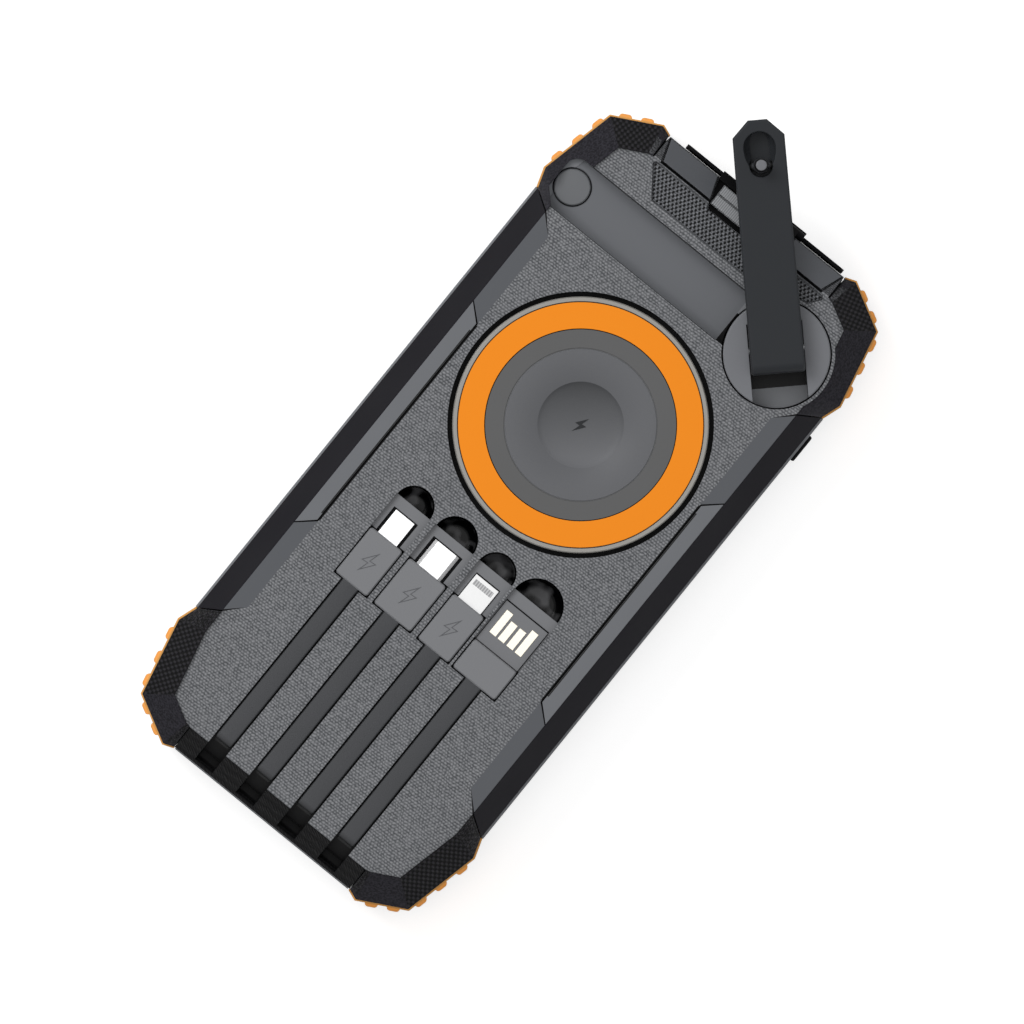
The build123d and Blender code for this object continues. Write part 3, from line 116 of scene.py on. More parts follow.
# place in the mesh, finish and body of a piece that is ready
def settle(piece, name, body, material, smoothAngle=35.0):
    pickOnly(piece)
    bpy.ops.object.transform_apply(location=True, rotation=True, scale=True)
    piece.name = name
    piece.data.materials.clear()
    piece.data.materials.append(material)
    bpy.ops.object.shade_smooth_by_angle(angle=radians(smoothAngle))
    if body:
        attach(piece, body)
    return piece


# flat piece from a few points: a circle of as many corners, each moved to its place
def outlinePiece(points, z, name):
    deselectAll()
    bpy.ops.mesh.primitive_circle_add(vertices=len(points), radius=mm, fill_type="NGON", location=(0, 0, 0))
    piece = bpy.context.object
    piece.name = name
    for vertex, (x, y) in zip(piece.data.vertices, points):
        vertex.co = (x, y, z)
    editMode(piece)
    bpy.ops.mesh.normals_make_consistent(inside=False)
    objectMode()
    return piece


def newGroup(name, inputs, outputs):
    group = bpy.data.node_groups.new(name, "ShaderNodeTree")
    for label, kind, value in inputs:
        socket = group.interface.new_socket(name=label, in_out="INPUT", socket_type="NodeSocket" + kind)
        if value is not None:
            socket.default_value = value
    for label, kind in outputs:
        group.interface.new_socket(name=label, in_out="OUTPUT", socket_type="NodeSocket" + kind)
    return group, group.nodes.new("NodeGroupInput"), group.nodes.new("NodeGroupOutput")


# inputs by name or number: a socket is linked, anything else is set
def feed(tree, node, values):
    for key, value in values.items():
        if isinstance(value, bpy.types.NodeSocket):
            tree.links.new(value, node.inputs[key])
        else:
            node.inputs[key].default_value = value


def addNode(tree, kind, values=None, **settings):
    node = tree.nodes.new("ShaderNode" + kind)
    for key, value in settings.items():
        setattr(node, key, value)
    feed(tree, node, values or {})
    return node


def mathNode(tree, operation, a, b=0.0, clamp=False):
    return addNode(tree, "Math", {0: a, 1: b}, operation=operation, use_clamp=clamp).outputs[0]


def plus(tree, a, b):
    return mathNode(tree, "ADD", a, b)


def minus(tree, a, b):
    return mathNode(tree, "SUBTRACT", a, b)


def times(tree, a, b):
    return mathNode(tree, "MULTIPLY", a, b)


def over(tree, a, b):
    return mathNode(tree, "DIVIDE", a, b)


def cosine(tree, a):
    return mathNode(tree, "COSINE", a)


def magnitude(tree, a):
    return mathNode(tree, "ABSOLUTE", a)


# masks: 1 where it holds, 0 elsewhere
def above(tree, a, limit):
    return mathNode(tree, "GREATER_THAN", a, limit)


def below(tree, a, limit):
    return mathNode(tree, "LESS_THAN", a, limit)


def either(tree, first, *others):
    for other in others:
        first = mathNode(tree, "MAXIMUM", first, other)
    return first


def parts(tree, vector):
    return addNode(tree, "SeparateXYZ", {0: vector}).outputs


def vectorMath(tree, operation, a, b=(0, 0, 0)):
    node = addNode(tree, "VectorMath", {0: a, 1: b}, operation=operation)
    return node.outputs["Value" if operation == "DOT_PRODUCT" else "Vector"]


def noise(tree, place, scale, detail):
    return addNode(tree, "TexNoise", {"Vector": place, "Scale": scale, "Detail": detail}).outputs[0]


def mixColour(tree, share, a, b):
    return addNode(tree, "Mix", {0: share, 6: a, 7: b}, data_type="RGBA").outputs[2]


def mixTones(tree, share, tones):
    return mixColour(tree, share, linear(tones[0]), linear(tones[1]))


def ramp(tree, value, low, high, toLow=0.0, toHigh=1.0):
    return addNode(tree, "MapRange", {0: value, 1: low, 2: high, 3: toLow, 4: toHigh}).outputs[0]


# moulded surface: a fine height and a slow change of tone
def buildFineGrain():
    tree, given, out = newGroup("fineGrain", [("Vector", "Vector", None), ("Scale", "Float", 4000.0)],
                                [("Height", "Float"), ("Tone", "Float")])
    fine = noise(tree, given.outputs[0], given.outputs[1], 3.0)
    slow = noise(tree, given.outputs[0], 55.0, 4.0)
    tree.links.new(fine, out.inputs[0])
    tree.links.new(plus(tree, times(tree, slow, 0.7), times(tree, fine, 0.3)), out.inputs[1])
    return tree


# rounded edges in the normal, and a mask of where the edges are
def buildSoftEdge():
    tree, given, out = newGroup("softEdge", [("Radius", "Float", 0.0003)],
                                [("Normal", "Vector"), ("Mask", "Float")])
    rounded = addNode(tree, "Bevel", {"Radius": given.outputs[0]}, samples=4).outputs[0]
    flat = addNode(tree, "NewGeometry").outputs["Normal"]
    agree = vectorMath(tree, "DOT_PRODUCT", rounded, flat)
    tree.links.new(rounded, out.inputs[0])
    tree.links.new(ramp(tree, agree, 0.995, 0.8), out.inputs[1])
    return tree


# leather-like weave: shares are of the pitch
weaveLook = {
    "driftScale": 0.45,   # slow bending of the rows
    "drift": 1.6,
    "speckScale": 1.3,    # uneven tone from pebble to pebble
    "speck": 0.24,
    "rowShare": 0.48,     # rows show this much beside the single pebbles
}


# light pebbles in staggered rows, a little uneven
def buildWeave():
    tree, given, out = newGroup("grainWeave", [("Vector", "Vector", None), ("Pitch", "Float", 0.001),
                                               ("Rows", "Float", 0.82)],
                                [("Height", "Float"), ("Tone", "Float")])
    place, pitch, rowPitch = given.outputs[:3]
    scale = over(tree, 1.0, pitch)
    drift = noise(tree, place, times(tree, scale, weaveLook["driftScale"]), 2.0)
    speck = noise(tree, place, times(tree, scale, weaveLook["speckScale"]), 1.0)
    shift = times(tree, minus(tree, drift, 0.5), weaveLook["drift"])
    x, y, z = parts(tree, place)
    # height joins in, so that the weave also runs on upright faces
    column = plus(tree, times(tree, plus(tree, x, z), scale), shift)
    row = over(tree, times(tree, minus(tree, y, z), scale), rowPitch)
    row = plus(tree, row, times(tree, shift, 0.6))
    pebbles = times(tree, cosine(tree, times(tree, column, 2 * pi)), cosine(tree, times(tree, row, pi)))
    rows = cosine(tree, times(tree, row, 2 * pi))
    rowShare = weaveLook["rowShare"]
    raised = plus(tree, times(tree, pebbles, 1 - rowShare), times(tree, rows, rowShare))
    height = ramp(tree, raised, -0.7, 0.85)
    tree.links.new(height, out.inputs[0])
    uneven = ramp(tree, speck, 0.3, 0.7, -weaveLook["speck"], weaveLook["speck"])
    tree.links.new(mathNode(tree, "ADD", height, uneven, clamp=True), out.inputs[1])
    return tree


# 1 inside a box, 0 outside
def buildBoxMask():
    tree, given, out = newGroup("boxMask", [("Vector", "Vector", None), ("Low", "Vector", None),
                                            ("High", "Vector", None)], [("Mask", "Float")])
    place, low, high = given.outputs[:3]
    pastLow = vectorMath(tree, "SUBTRACT", place, low)
    beforeHigh = vectorMath(tree, "SUBTRACT", high, place)
    x, y, z = parts(tree, vectorMath(tree, "MINIMUM", pastLow, beforeHigh))
    least = mathNode(tree, "MINIMUM", mathNode(tree, "MINIMUM", x, y), z)
    tree.links.new(above(tree, least, 0.0), out.inputs[0])
    return tree


# small staggered blocks in rows along a sloping facet, as on the rubber guards
def buildRibs():
    tree, given, out = newGroup("rubberRibs", [("Vector", "Vector", None), ("Normal", "Vector", None),
                                               ("Pitch", "Float", 0.001)], [("Height", "Float")])
    place, normal, pitch = given.outputs[:3]
    along = vectorMath(tree, "NORMALIZE", vectorMath(tree, "CROSS_PRODUCT", normal, (0, 0, 1)))
    reach = vectorMath(tree, "DOT_PRODUCT", place, along)
    turn = over(tree, pi, pitch)
    blocks = cosine(tree, times(tree, reach, times(tree, turn, 1.5)))
    rows = cosine(tree, times(tree, parts(tree, place)[2], turn))
    tree.links.new(ramp(tree, times(tree, blocks, rows), -0.6, 0.9), out.inputs[0])
    return tree


# staggered slots of a perforated strip
def buildDotMesh():
    tree, given, out = newGroup("dotMesh", [("Vector", "Vector", None), ("Pitch", "Float", 0.0012)],
                                [("Hole", "Float")])
    x, y, z = parts(tree, given.outputs[0])
    turn = over(tree, 2 * pi, given.outputs[1])
    across = cosine(tree, times(tree, x, turn))
    down = cosine(tree, times(tree, y, times(tree, turn, 0.7)))
    tree.links.new(ramp(tree, times(tree, across, down), -0.15, 0.45), out.inputs[0])
    return tree


groups = {
    "grain": buildFineGrain(),
    "edge": buildSoftEdge(),
    "weave": buildWeave(),
    "box": buildBoxMask(),
    "ribs": buildRibs(),
    "dots": buildDotMesh(),
}


def useGroup(tree, which, values):
    node = tree.nodes.new("ShaderNodeGroup")
    node.node_tree = groups[which]
    feed(tree, node, values)
    return node.outputs


# fine grain and soft edges, which most finishes have
def grainAndEdge(tree, place, grainScale, radius):
    grain = useGroup(tree, "grain", {"Vector": place, "Scale": grainScale})
    return grain, useGroup(tree, "edge", {"Radius": radius * mm})


# box mask in mm over the place given
def zoneOf(tree, place, low, high):
    lowCorner = tuple(v * mm for v in low)
    highCorner = tuple(v * mm for v in high)
    return useGroup(tree, "box", {"Vector": place, "Low": lowCorner, "High": highCorner})[0]


# distance from a point, seen from above
def reachFrom(tree, place, point):
    x, y, z = parts(tree, vectorMath(tree, "SUBTRACT", place, tuple(point)))
    return mathNode(tree, "SQRT", plus(tree, times(tree, x, x), times(tree, y, y)))


# how much the surface faces up
def upward(tree):
    return parts(tree, addNode(tree, "NewGeometry").outputs["True Normal"])[2]


def newMaterial(name):
    material = bpy.data.materials.new(name)
    material.use_nodes = True
    tree = material.node_tree
    return material, tree, tree.nodes["Principled BSDF"], addNode(tree, "TexCoord").outputs["Object"]


# roughness between two values, after the grain's slow tone
def toneRough(tree, grain, low, high):
    return ramp(tree, grain["Tone"], 0.2, 0.8, low, high)


# colour, roughness, gloss and relief on the shader's own sockets, depth in mm
def finishShader(tree, shader, colour, rough, specular, edge, height=None, depth=0.04, strength=0.5):
    tree.links.new(colour, shader.inputs["Base Color"])
    tree.links.new(rough, shader.inputs["Roughness"])
    shader.inputs["Specular IOR Level"].default_value = specular
    normal = edge["Normal"]
    if height is not None:
        normal = addNode(tree, "Bump", {"Height": height, "Normal": normal, "Distance": depth * mm,
                                        "Strength": strength}).outputs[0]
    tree.links.new(normal, shader.inputs["Normal"])


# moulded or turned finish: slow tone, fine grain, soft edges painted in the edge colour, partly wear and
# partly painted highlight
def plastic(name, colour, edgeWearHighlightColour, roughness=0.5, grain=0.25, grainScale=4200.0, drift=0.12,
            edgeWearHighlightShare=0.35, radius=0.25, metallic=0.0, specular=0.2, weavePitch=0.0, depth=0.2):
    material, tree, shader, place = newMaterial(name)
    fine, edge = grainAndEdge(tree, place, grainScale, radius)
    base = linear(colour)[:3]
    light = tuple(min(1.0, c * (1 + drift)) for c in base) + (1,)
    dark = tuple(c * (1 - drift) for c in base) + (1,)
    toned = mixColour(tree, fine["Tone"], dark, light)
    # the edge colour is partly wear and partly painted highlight along the edges
    coloured = mixColour(tree, times(tree, edge["Mask"], edgeWearHighlightShare), toned, linear(edgeWearHighlightColour))
    height = times(tree, fine["Height"], grain)
    if weavePitch:
        weave = useGroup(tree, "weave", {"Vector": place, "Pitch": weavePitch * mm})
        coloured = mixColour(tree, ramp(tree, weave["Tone"], 0.1, 0.8, 0.5, 0.0), coloured, dark)
        height = plus(tree, height, times(tree, weave["Height"], 2.0))
    shader.inputs["Metallic"].default_value = metallic
    rough = toneRough(tree, fine, roughness - 0.06, roughness + 0.08)
    finishShader(tree, shader, coloured, rough, specular, edge, height, depth, 0.6)
    return material


# plain finishes: colour, colour of the edges (wear and painted highlight), and what differs from plastic's
# own values
plainLooks = {
    "smoothGrey": ("6c6e71", "8f9296", {"roughness": 0.42, "grain": 0.15, "drift": 0.05}),
    "plateGrey": ("525458", "85878c", {"roughness": 0.4, "grain": 0.15, "drift": 0.06}),
    "bandGrey": ("8d8f93", "b9bbbe", {"roughness": 0.45, "grain": 0.2, "drift": 0.06}),
    "charcoal": ("17161b", "35343b", {"grain": 0.12, "drift": 0.1, "specular": 0.03}),
    "armCharcoal": ("2d2f32", "505358", {"roughness": 0.36, "grain": 0.12, "drift": 0.06, "radius": 0.4,
                                         "specular": 0.08}),
    "flapBlack": ("101012", "2a2a2d", {"roughness": 0.6, "grain": 0.4, "drift": 0.2, "specular": 0.06}),
    # painted shade: the sloping end guard is painted near-black for the shade on its slope
    "shadedSlopeBlack": ("101011", "1d1d20", {"roughness": 0.6, "grain": 0.5, "drift": 0.3, "weavePitch": 1.0,
                                        "depth": 0.12, "specular": 0.05}),
    "bumperOrange": ("f9b462", "f9be77", {"roughness": 0.6, "grain": 0.6, "grainScale": 2600, "drift": 0.08,
                                          "edgeWearHighlightShare": 0.7, "radius": 0.35, "specular": 0.1}),
    "bandOrange": ("f68f22", "ffb25c", {"grain": 0.1, "drift": 0.02, "radius": 0.15, "specular": 0.06}),
    "plugGrey": ("7a7b7e", "95979a", {"grain": 0.15, "drift": 0.04, "radius": 0.2}),
    "cableGrey": ("4a4b4d", "5a5b5e", {"grain": 0.2, "drift": 0.06, "radius": 0.3}),
    "brightMetal": ("f2f2f3", "ffffff", {"roughness": 0.3, "grain": 0.1, "drift": 0.03, "metallic": 0.35,
                                         "radius": 0.12, "specular": 0.5}),
    "contactMetal": ("efeadb", "c8ab6a", {"roughness": 0.3, "grain": 0.1, "drift": 0.05, "metallic": 0.3,
                                          "edgeWearHighlightShare": 0.8, "radius": 0.12, "specular": 0.5}),
    "steel": ("8e8f91", "c5c6c8", {"roughness": 0.32, "grain": 0.2, "metallic": 1.0, "specular": 0.5}),
    "copper": ("b4673d", "d38a5c", {"roughness": 0.35, "grain": 0.6, "grainScale": 2500, "metallic": 0.8,
                                    "specular": 0.5}),
    "gearWhite": ("dcdad2", "f0eee8", {"roughness": 0.45, "grain": 0.15, "drift": 0.04}),
    "boardGreen": ("1d5c34", "4e8a5d", {"roughness": 0.35, "grain": 0.3, "drift": 0.2}),
    "cellFoil": ("a7a8aa", "c9cacc", {"roughness": 0.4, "grain": 0.6, "grainScale": 900, "metallic": 0.6,
                                      "drift": 0.1, "specular": 0.5}),
    "innerBlack": ("0a0a0b", "151517", {"grain": 0.2, "specular": 0.06}),
    "markGrey": ("5a5b5e", "505154", {"grain": 0.1, "drift": 0.05, "radius": 0.05}),
    "markDark": ("2d2e30", "3a3b3e", {"grain": 0.1, "drift": 0.05, "radius": 0.05, "specular": 0.1}),
    "bronze": ("8a6a3c", "b8935c", {"roughness": 0.4, "grain": 0.4, "metallic": 0.8, "specular": 0.5}),
    "trayGrey": ("3a3b3e", "5c5e62", {"grain": 0.6, "grainScale": 2400, "drift": 0.1}),
}
looks = {name: plastic(name, colour, edge, **rest) for name, (colour, edge, rest) in plainLooks.items()}

guardLook = {
    "gridPitch": 1.0,             # mm
    "grid": ("050506", "2a292d"),
    "plain": ("141318", "2d2c32"),
    "speck": ("28282a", "58595c"),
    "rim": "4a4a4e",
    "cut": "85878b",              # where the channel's end is cut into a guard
    "cutReach": 7.4,              # mm from the cap's middle
    "cutLow": -1.3,               # mm from the cap's face
    "cutHigh": 6.0,
}


# black rubber guard: a fine grid on some facets, plain grain on the others
def guardMaterial():
    material, tree, shader, place = newMaterial("guardRubber")
    grain, edge = grainAndEdge(tree, place, 2000.0, 0.35)
    normal = addNode(tree, "NewGeometry").outputs["True Normal"]
    pitch = guardLook["gridPitch"] * mm
    ribs = useGroup(tree, "ribs", {"Vector": place, "Normal": normal, "Pitch": pitch})[0]
    leanX, leanY, leanZ = parts(tree, normal)
    x, y, z = parts(tree, place)
    sideways = magnitude(tree, leanX)
    endways = magnitude(tree, leanY)
    # corner facets lean both ways
    slant = ramp(tree, mathNode(tree, "MINIMUM", sideways, endways), 0.27, 0.3)
    atTop = above(tree, y, 0.0)
    gridded = magnitude(tree, minus(tree, minus(tree, 1.0, slant), atTop))
    endFacet = times(tree, below(tree, sideways, 0.2), above(tree, endways, 0.2))
    plain = mixTones(tree, ramp(tree, grain["Height"], 0.4, 0.6), guardLook["plain"])
    grid = mixTones(tree, ramp(tree, ribs, 0.3, 0.9), guardLook["grid"])
    speck = mixTones(tree, ramp(tree, grain["Height"], 0.42, 0.6), guardLook["speck"])
    base = mixColour(tree, gridded, plain, grid)
    base = mixColour(tree, times(tree, endFacet, atTop), base, speck)
    nearCap = below(tree, reachFrom(tree, place, capCentre), guardLook["cutReach"] * mm)
    level = magnitude(tree, minus(tree, leanZ, 0.55))
    lift = minus(tree, z, capHigh.z)
    overLow = above(tree, lift, guardLook["cutLow"] * mm)
    between = times(tree, overLow, below(tree, lift, guardLook["cutHigh"] * mm))
    cutFace = times(tree, above(tree, level, 0.3), between)
    base = mixColour(tree, times(tree, nearCap, cutFace), base, linear(guardLook["cut"]))
    # the lighter rim colour on the guard's edges is partly wear and partly painted highlight
    coloured = mixColour(tree, times(tree, edge["Mask"], 0.25), base, linear(guardLook["rim"]))
    height = plus(tree, times(tree, ribs, times(tree, gridded, 2.0)), times(tree, grain["Height"], 0.4))
    finishShader(tree, shader, coloured, toneRough(tree, grain, 0.5, 0.68), 0.05, edge, height, 0.12, 0.7)
    return material


# sizes in mm
coverLook = {
    "weavePitch": 0.8,
    "marginX": 32.3,          # the smooth margins lie outside this
    "marginY": -1.3,          # their middle along the case
    "marginHalf": 53.6,       # half their length at the inner edge
    "marginSlope": 1.1,       # their ends run slanted to the guards
    "marginTaper": 0.15,      # painted edge shade along each slanted end
    "insertX": 32.6,          # painted edge shade beside each insert
    "insertShort": 3.7,
    "edgeShadeHalf": 0.6,
    "channel": (-6.22, 6.72),   # its edges, from the hub's middle
    "channelEnd": -12.7,
    "capGapShade": (-0.2, 0.22),
    "field": ("484a4d", "8d8e91"),
    "haze": "6b6c6f",
    "gapShadeTone": "070708",
    "marginTone": "5a5c60",
    "meshTone": "85878b",
    "plugTone": "505154",
    "channelTone": "717377",
    "channelEdgeShade": "303133",
    "capGapShadeTone": "060607",
    "ledgeTone": "7a7b7e",
    "edgeShadeTone": "0a0a0b",
    "strip": ("2c2d2f", "5c5d60"),
}


# back cover: woven field, smooth margins, channel and ledges; painted shade: black in every gap and on every
# surface under the face, dark lines along some edges
def coverMaterial():
    material, tree, shader, place = newMaterial("coverField")
    look = coverLook
    grain, edge = grainAndEdge(tree, place, 4200.0, 0.2)
    weave = useGroup(tree, "weave", {"Vector": place, "Pitch": look["weavePitch"] * mm})
    hubX, hubY = hubCentre.x / mm, hubCentre.y / mm
    top = faceZ / mm
    under, beyond = top - 0.05, top + 1      # just under the face, and well over it
    fieldZone = zoneOf(tree, place, (-50, -95, under), (50, 95, beyond))
    x, y, z = parts(tree, place)
    outward = minus(tree, magnitude(tree, x), look["marginX"] * mm)
    fromMiddle = magnitude(tree, minus(tree, y, look["marginY"] * mm))
    slope = times(tree, outward, look["marginSlope"])
    past = minus(tree, minus(tree, fromMiddle, slope), look["marginHalf"] * mm)
    margins = times(tree, times(tree, above(tree, outward, 0.0), below(tree, past, 0.0)), fieldZone)
    # painted edge shade: dark strips at the margins' slanted ends and beside the inserts
    taper = times(tree, outward, -look["marginTaper"])
    edgeShades = [times(tree, margins, above(tree, past, taper))]
    insertLow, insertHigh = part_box("side_inserts")
    edgeShadeLow, edgeShadeHigh = insertLow.y / mm + look["insertShort"], insertHigh.y / mm - look["insertShort"]
    for side in (-look["insertX"], look["insertX"]):
        edgeShades.append(zoneOf(tree, place, (side - look["edgeShadeHalf"], edgeShadeLow, 20),
                             (side + look["edgeShadeHalf"], edgeShadeHigh, beyond)))
    channelEnd = hubX + look["channelEnd"]
    # painted shade: thin dark lines along both long edges of the channel
    lines = [zoneOf(tree, place, (-40, hubY + side - 0.09, 20), (channelEnd, hubY + side + 0.09, beyond))
             for side in look["channel"]]
    channelLow, channelHigh = look["channel"]
    channelZone = zoneOf(tree, place, (-45, hubY + channelLow - 0.08, 20),
                         (channelEnd, hubY + channelHigh + 0.08, under))
    ledgeZone = zoneOf(tree, place, (-26, -30, top - 1.4), (26, -13.7, top - 1.0))
    plugZone = zoneOf(tree, place, (-26, -37.5, 20), (26, -13.9, top - 1.0))
    stripZone = zoneOf(tree, place, (-50, 81.8, 20), (50, 95, under))
    meshZone = zoneOf(tree, place, (-50, 66.0, 20), (50, 81.0, under))
    # painted shade: a black ring round the cap, where the gap round it lies
    fromCap = minus(tree, reachFrom(tree, place, capCentre), (capHigh.x - capLow.x) / 2)
    gapShadeIn, gapShadeOut = look["capGapShade"]
    capGapShade = times(tree, above(tree, fromCap, gapShadeIn * mm), below(tree, fromCap, gapShadeOut * mm))
    field = mixTones(tree, weave["Tone"], look["field"])
    field = mixColour(tree, ramp(tree, grain["Tone"], 0.3, 0.7, 0.0, 0.14), field, linear(look["haze"]))
    # painted shade: all of the cover under the face starts near-black; the zones below paint over parts of it
    colour = mixColour(tree, fieldZone, linear(look["gapShadeTone"]), field)
    for mask, tone in ((margins, "marginTone"), (meshZone, "meshTone"), (plugZone, "plugTone"),
                       (channelZone, "channelTone"), (either(tree, *lines), "channelEdgeShade"),
                       (capGapShade, "capGapShadeTone"), (ledgeZone, "ledgeTone"), (either(tree, *edgeShades), "edgeShadeTone")):
        colour = mixColour(tree, mask, colour, linear(look[tone]))
    colour = mixColour(tree, stripZone, colour, mixTones(tree, weave["Tone"], look["strip"]))
    woven = either(tree, mathNode(tree, "SUBTRACT", fieldZone, margins, clamp=True), stripZone)
    height = plus(tree, times(tree, weave["Height"], woven), times(tree, grain["Height"], 0.1))
    finishShader(tree, shader, colour, toneRough(tree, grain, 0.45, 0.6), 0.1, edge, height, 0.16, 0.6)
    return material


meshLook = {"holePitch": 1.08, "grainPitch": 0.7, "metal": ("4f5053", "808286"), "hole": "0c0c0d"}


# perforated strip beside the ports
def meshMaterial():
    material, tree, shader, place = newMaterial("meshStrip")
    holes = useGroup(tree, "dots", {"Vector": place, "Pitch": meshLook["holePitch"] * mm})[0]
    weave = useGroup(tree, "weave", {"Vector": place, "Pitch": meshLook["grainPitch"] * mm})
    edge = useGroup(tree, "edge", {"Radius": 0.2 * mm})
    metal = mixTones(tree, weave["Tone"], meshLook["metal"])
    coloured = mixColour(tree, holes, metal, linear(meshLook["hole"]))
    rough = ramp(tree, weave["Tone"], 0.0, 1.0, 0.6, 0.45)
    height = minus(tree, times(tree, weave["Height"], 0.3), holes)
    finishShader(tree, shader, coloured, rough, 0.1, edge, height, 0.3, 0.6)
    return material


padLook = {
    "outerFrom": 17.2,           # mm, inner edge of the matt ring
    "dishTo": 9.75,
    "middle": "616265",
    "outer": "5b5b5b",
    "haze": "6e6f72",
    "bowl": ("3f4042", "67686b"),
    "paintedLightSide": (0.63, -0.777, 0),   # painted shade: the dish is painted lighter towards this side
    "paintedShadeSpan": (-9.0, 7.0),
}


# pad face: smooth grey middle with a dish in painted shade, slightly darker matt ring round it
def padMaterial():
    material, tree, shader, place = newMaterial("padFace")
    grain, edge = grainAndEdge(tree, place, 3800.0, 0.15)
    reach = reachFrom(tree, place, padCentre)
    outer = above(tree, reach, padLook["outerFrom"] * mm)
    dish = below(tree, reach, padLook["dishTo"] * mm)
    fromMiddle = vectorMath(tree, "SUBTRACT", place, tuple(padCentre))
    lit = vectorMath(tree, "DOT_PRODUCT", fromMiddle, padLook["paintedLightSide"])
    litLow, litHigh = padLook["paintedShadeSpan"]
    # painted shade: the dish's colour runs from dark to light across it, as lamp light falls on a hollow
    bowl = mixTones(tree, ramp(tree, lit, litLow * mm, litHigh * mm), padLook["bowl"])
    colour = mixTones(tree, outer, (padLook["middle"], padLook["outer"]))
    colour = mixColour(tree, dish, colour, bowl)
    colour = mixColour(tree, ramp(tree, grain["Tone"], 0.3, 0.7, 0.0, 0.15), colour, linear(padLook["haze"]))
    finishShader(tree, shader, colour, toneRough(tree, grain, 0.36, 0.48), 0.15, edge, grain["Height"], 0.03)
    return material


ringLook = {
    "lines": 9000.0,
    "tones": ("706e6b", "96948f"),
    "innerTo": 27.85,         # mm, the chamfer inside this is darker
    "inner": "4c4a47",
    "metallic": 0.4,
}


# turned aluminium ring: fine circular lines
def ringMaterial():
    material, tree, shader, place = newMaterial("turnedRing")
    edge = useGroup(tree, "edge", {"Radius": 0.15 * mm})
    reach = reachFrom(tree, place, padCentre)
    turned = {"W": times(tree, reach, ringLook["lines"]), "Scale": 1.0, "Detail": 2.0}
    lines = addNode(tree, "TexNoise", turned, noise_dimensions="1D").outputs[0]
    inside = below(tree, reach, ringLook["innerTo"] * mm)
    colour = mixColour(tree, inside, mixTones(tree, lines, ringLook["tones"]), linear(ringLook["inner"]))
    shader.inputs["Metallic"].default_value = ringLook["metallic"]
    finishShader(tree, shader, colour, ramp(tree, lines, 0.2, 0.8, 0.28, 0.42), 0.2, edge, lines, 0.02)
    return material


hubLook = {
    "slotDepth": 7.32,        # mm, the arm's slot under the face
    "pocketFrom": -7.4,       # mm along the arm from the hub's middle
    "face": ("6f7073", "787a7f"),
    # painted light: the slot floor is painted lighter than the face, against the shade in the slot
    "slot": "8e9094",
    "rim": "8f9195",
    "pocket": "060607",
}


# hub disc: grey face; painted light: slot floor painted lighter than the face; painted shade: black on the
# swing pocket, the slot's walls and its deep part
def hubMaterial():
    material, tree, shader, place = newMaterial("hubFace")
    grain, edge = grainAndEdge(tree, place, 4200.0, 0.25)
    height = parts(tree, place)[2]
    low = below(tree, height, faceZ - hubLook["slotDepth"] * mm)
    inSlot = below(tree, height, faceZ - 0.3 * mm)
    wall = times(tree, inSlot, below(tree, upward(tree), 0.6))
    armLine = pegCentre - hubCentre
    armLine.z = 0
    fromHub = vectorMath(tree, "SUBTRACT", place, tuple(hubCentre))
    along = vectorMath(tree, "DOT_PRODUCT", fromHub, tuple(armLine.normalized()))
    pocket = times(tree, above(tree, along, hubLook["pocketFrom"] * mm), inSlot)
    face = mixTones(tree, grain["Tone"], hubLook["face"])
    face = mixColour(tree, inSlot, face, linear(hubLook["slot"]))
    # the lighter rim colour on the hub's edges is partly wear and partly painted highlight
    face = mixColour(tree, times(tree, edge["Mask"], 0.4), face, linear(hubLook["rim"]))
    # painted shade: the swing pocket, the slot's side walls and all under the slot's depth are painted black
    colour = mixColour(tree, either(tree, low, wall, pocket), face, linear(hubLook["pocket"]))
    finishShader(tree, shader, colour, toneRough(tree, grain, 0.38, 0.5), 0.15, edge, grain["Height"])
    return material


# smooth part with another tone inside a box, given in mm, plain or in fine stripes
def boxedMaterial(name, colour, boxColour, low, high, edgeWearHighlightColour, specular, stripes=0.0):
    material, tree, shader, place = newMaterial(name)
    grain, edge = grainAndEdge(tree, place, 4200.0, 0.2)
    inside = zoneOf(tree, place, low, high)
    if stripes:
        wave = mathNode(tree, "SINE", times(tree, parts(tree, place)[0], 2 * pi / (stripes * mm)))
        inside = times(tree, inside, ramp(tree, wave, -0.6, 0.4, 0.6, 1.0))
    toned = mixTones(tree, inside, (colour, boxColour))
    toned = mixColour(tree, ramp(tree, grain["Tone"], 0.3, 0.7, 0.1, 0.0), toned, (0, 0, 0, 1))
    # the edge colour is partly wear and partly painted highlight
    edgeWearHighlighted = mixColour(tree, times(tree, edge["Mask"], 0.3), toned, linear(edgeWearHighlightColour))
    finishShader(tree, shader, edgeWearHighlighted, toneRough(tree, grain, 0.36, 0.5), specular, edge, grain["Height"])
    return material


solarLook = {
    "cell": ("0b1122", "161f3a"),
    "silver": "8b8f99",
    "gap": "08090b",
    "fingers": (1.6, 0.04),    # mm from line to line, and half a line's share of that
    "bars": (18.1, 0.02),
    "gaps": (22.4, 0.03),
}


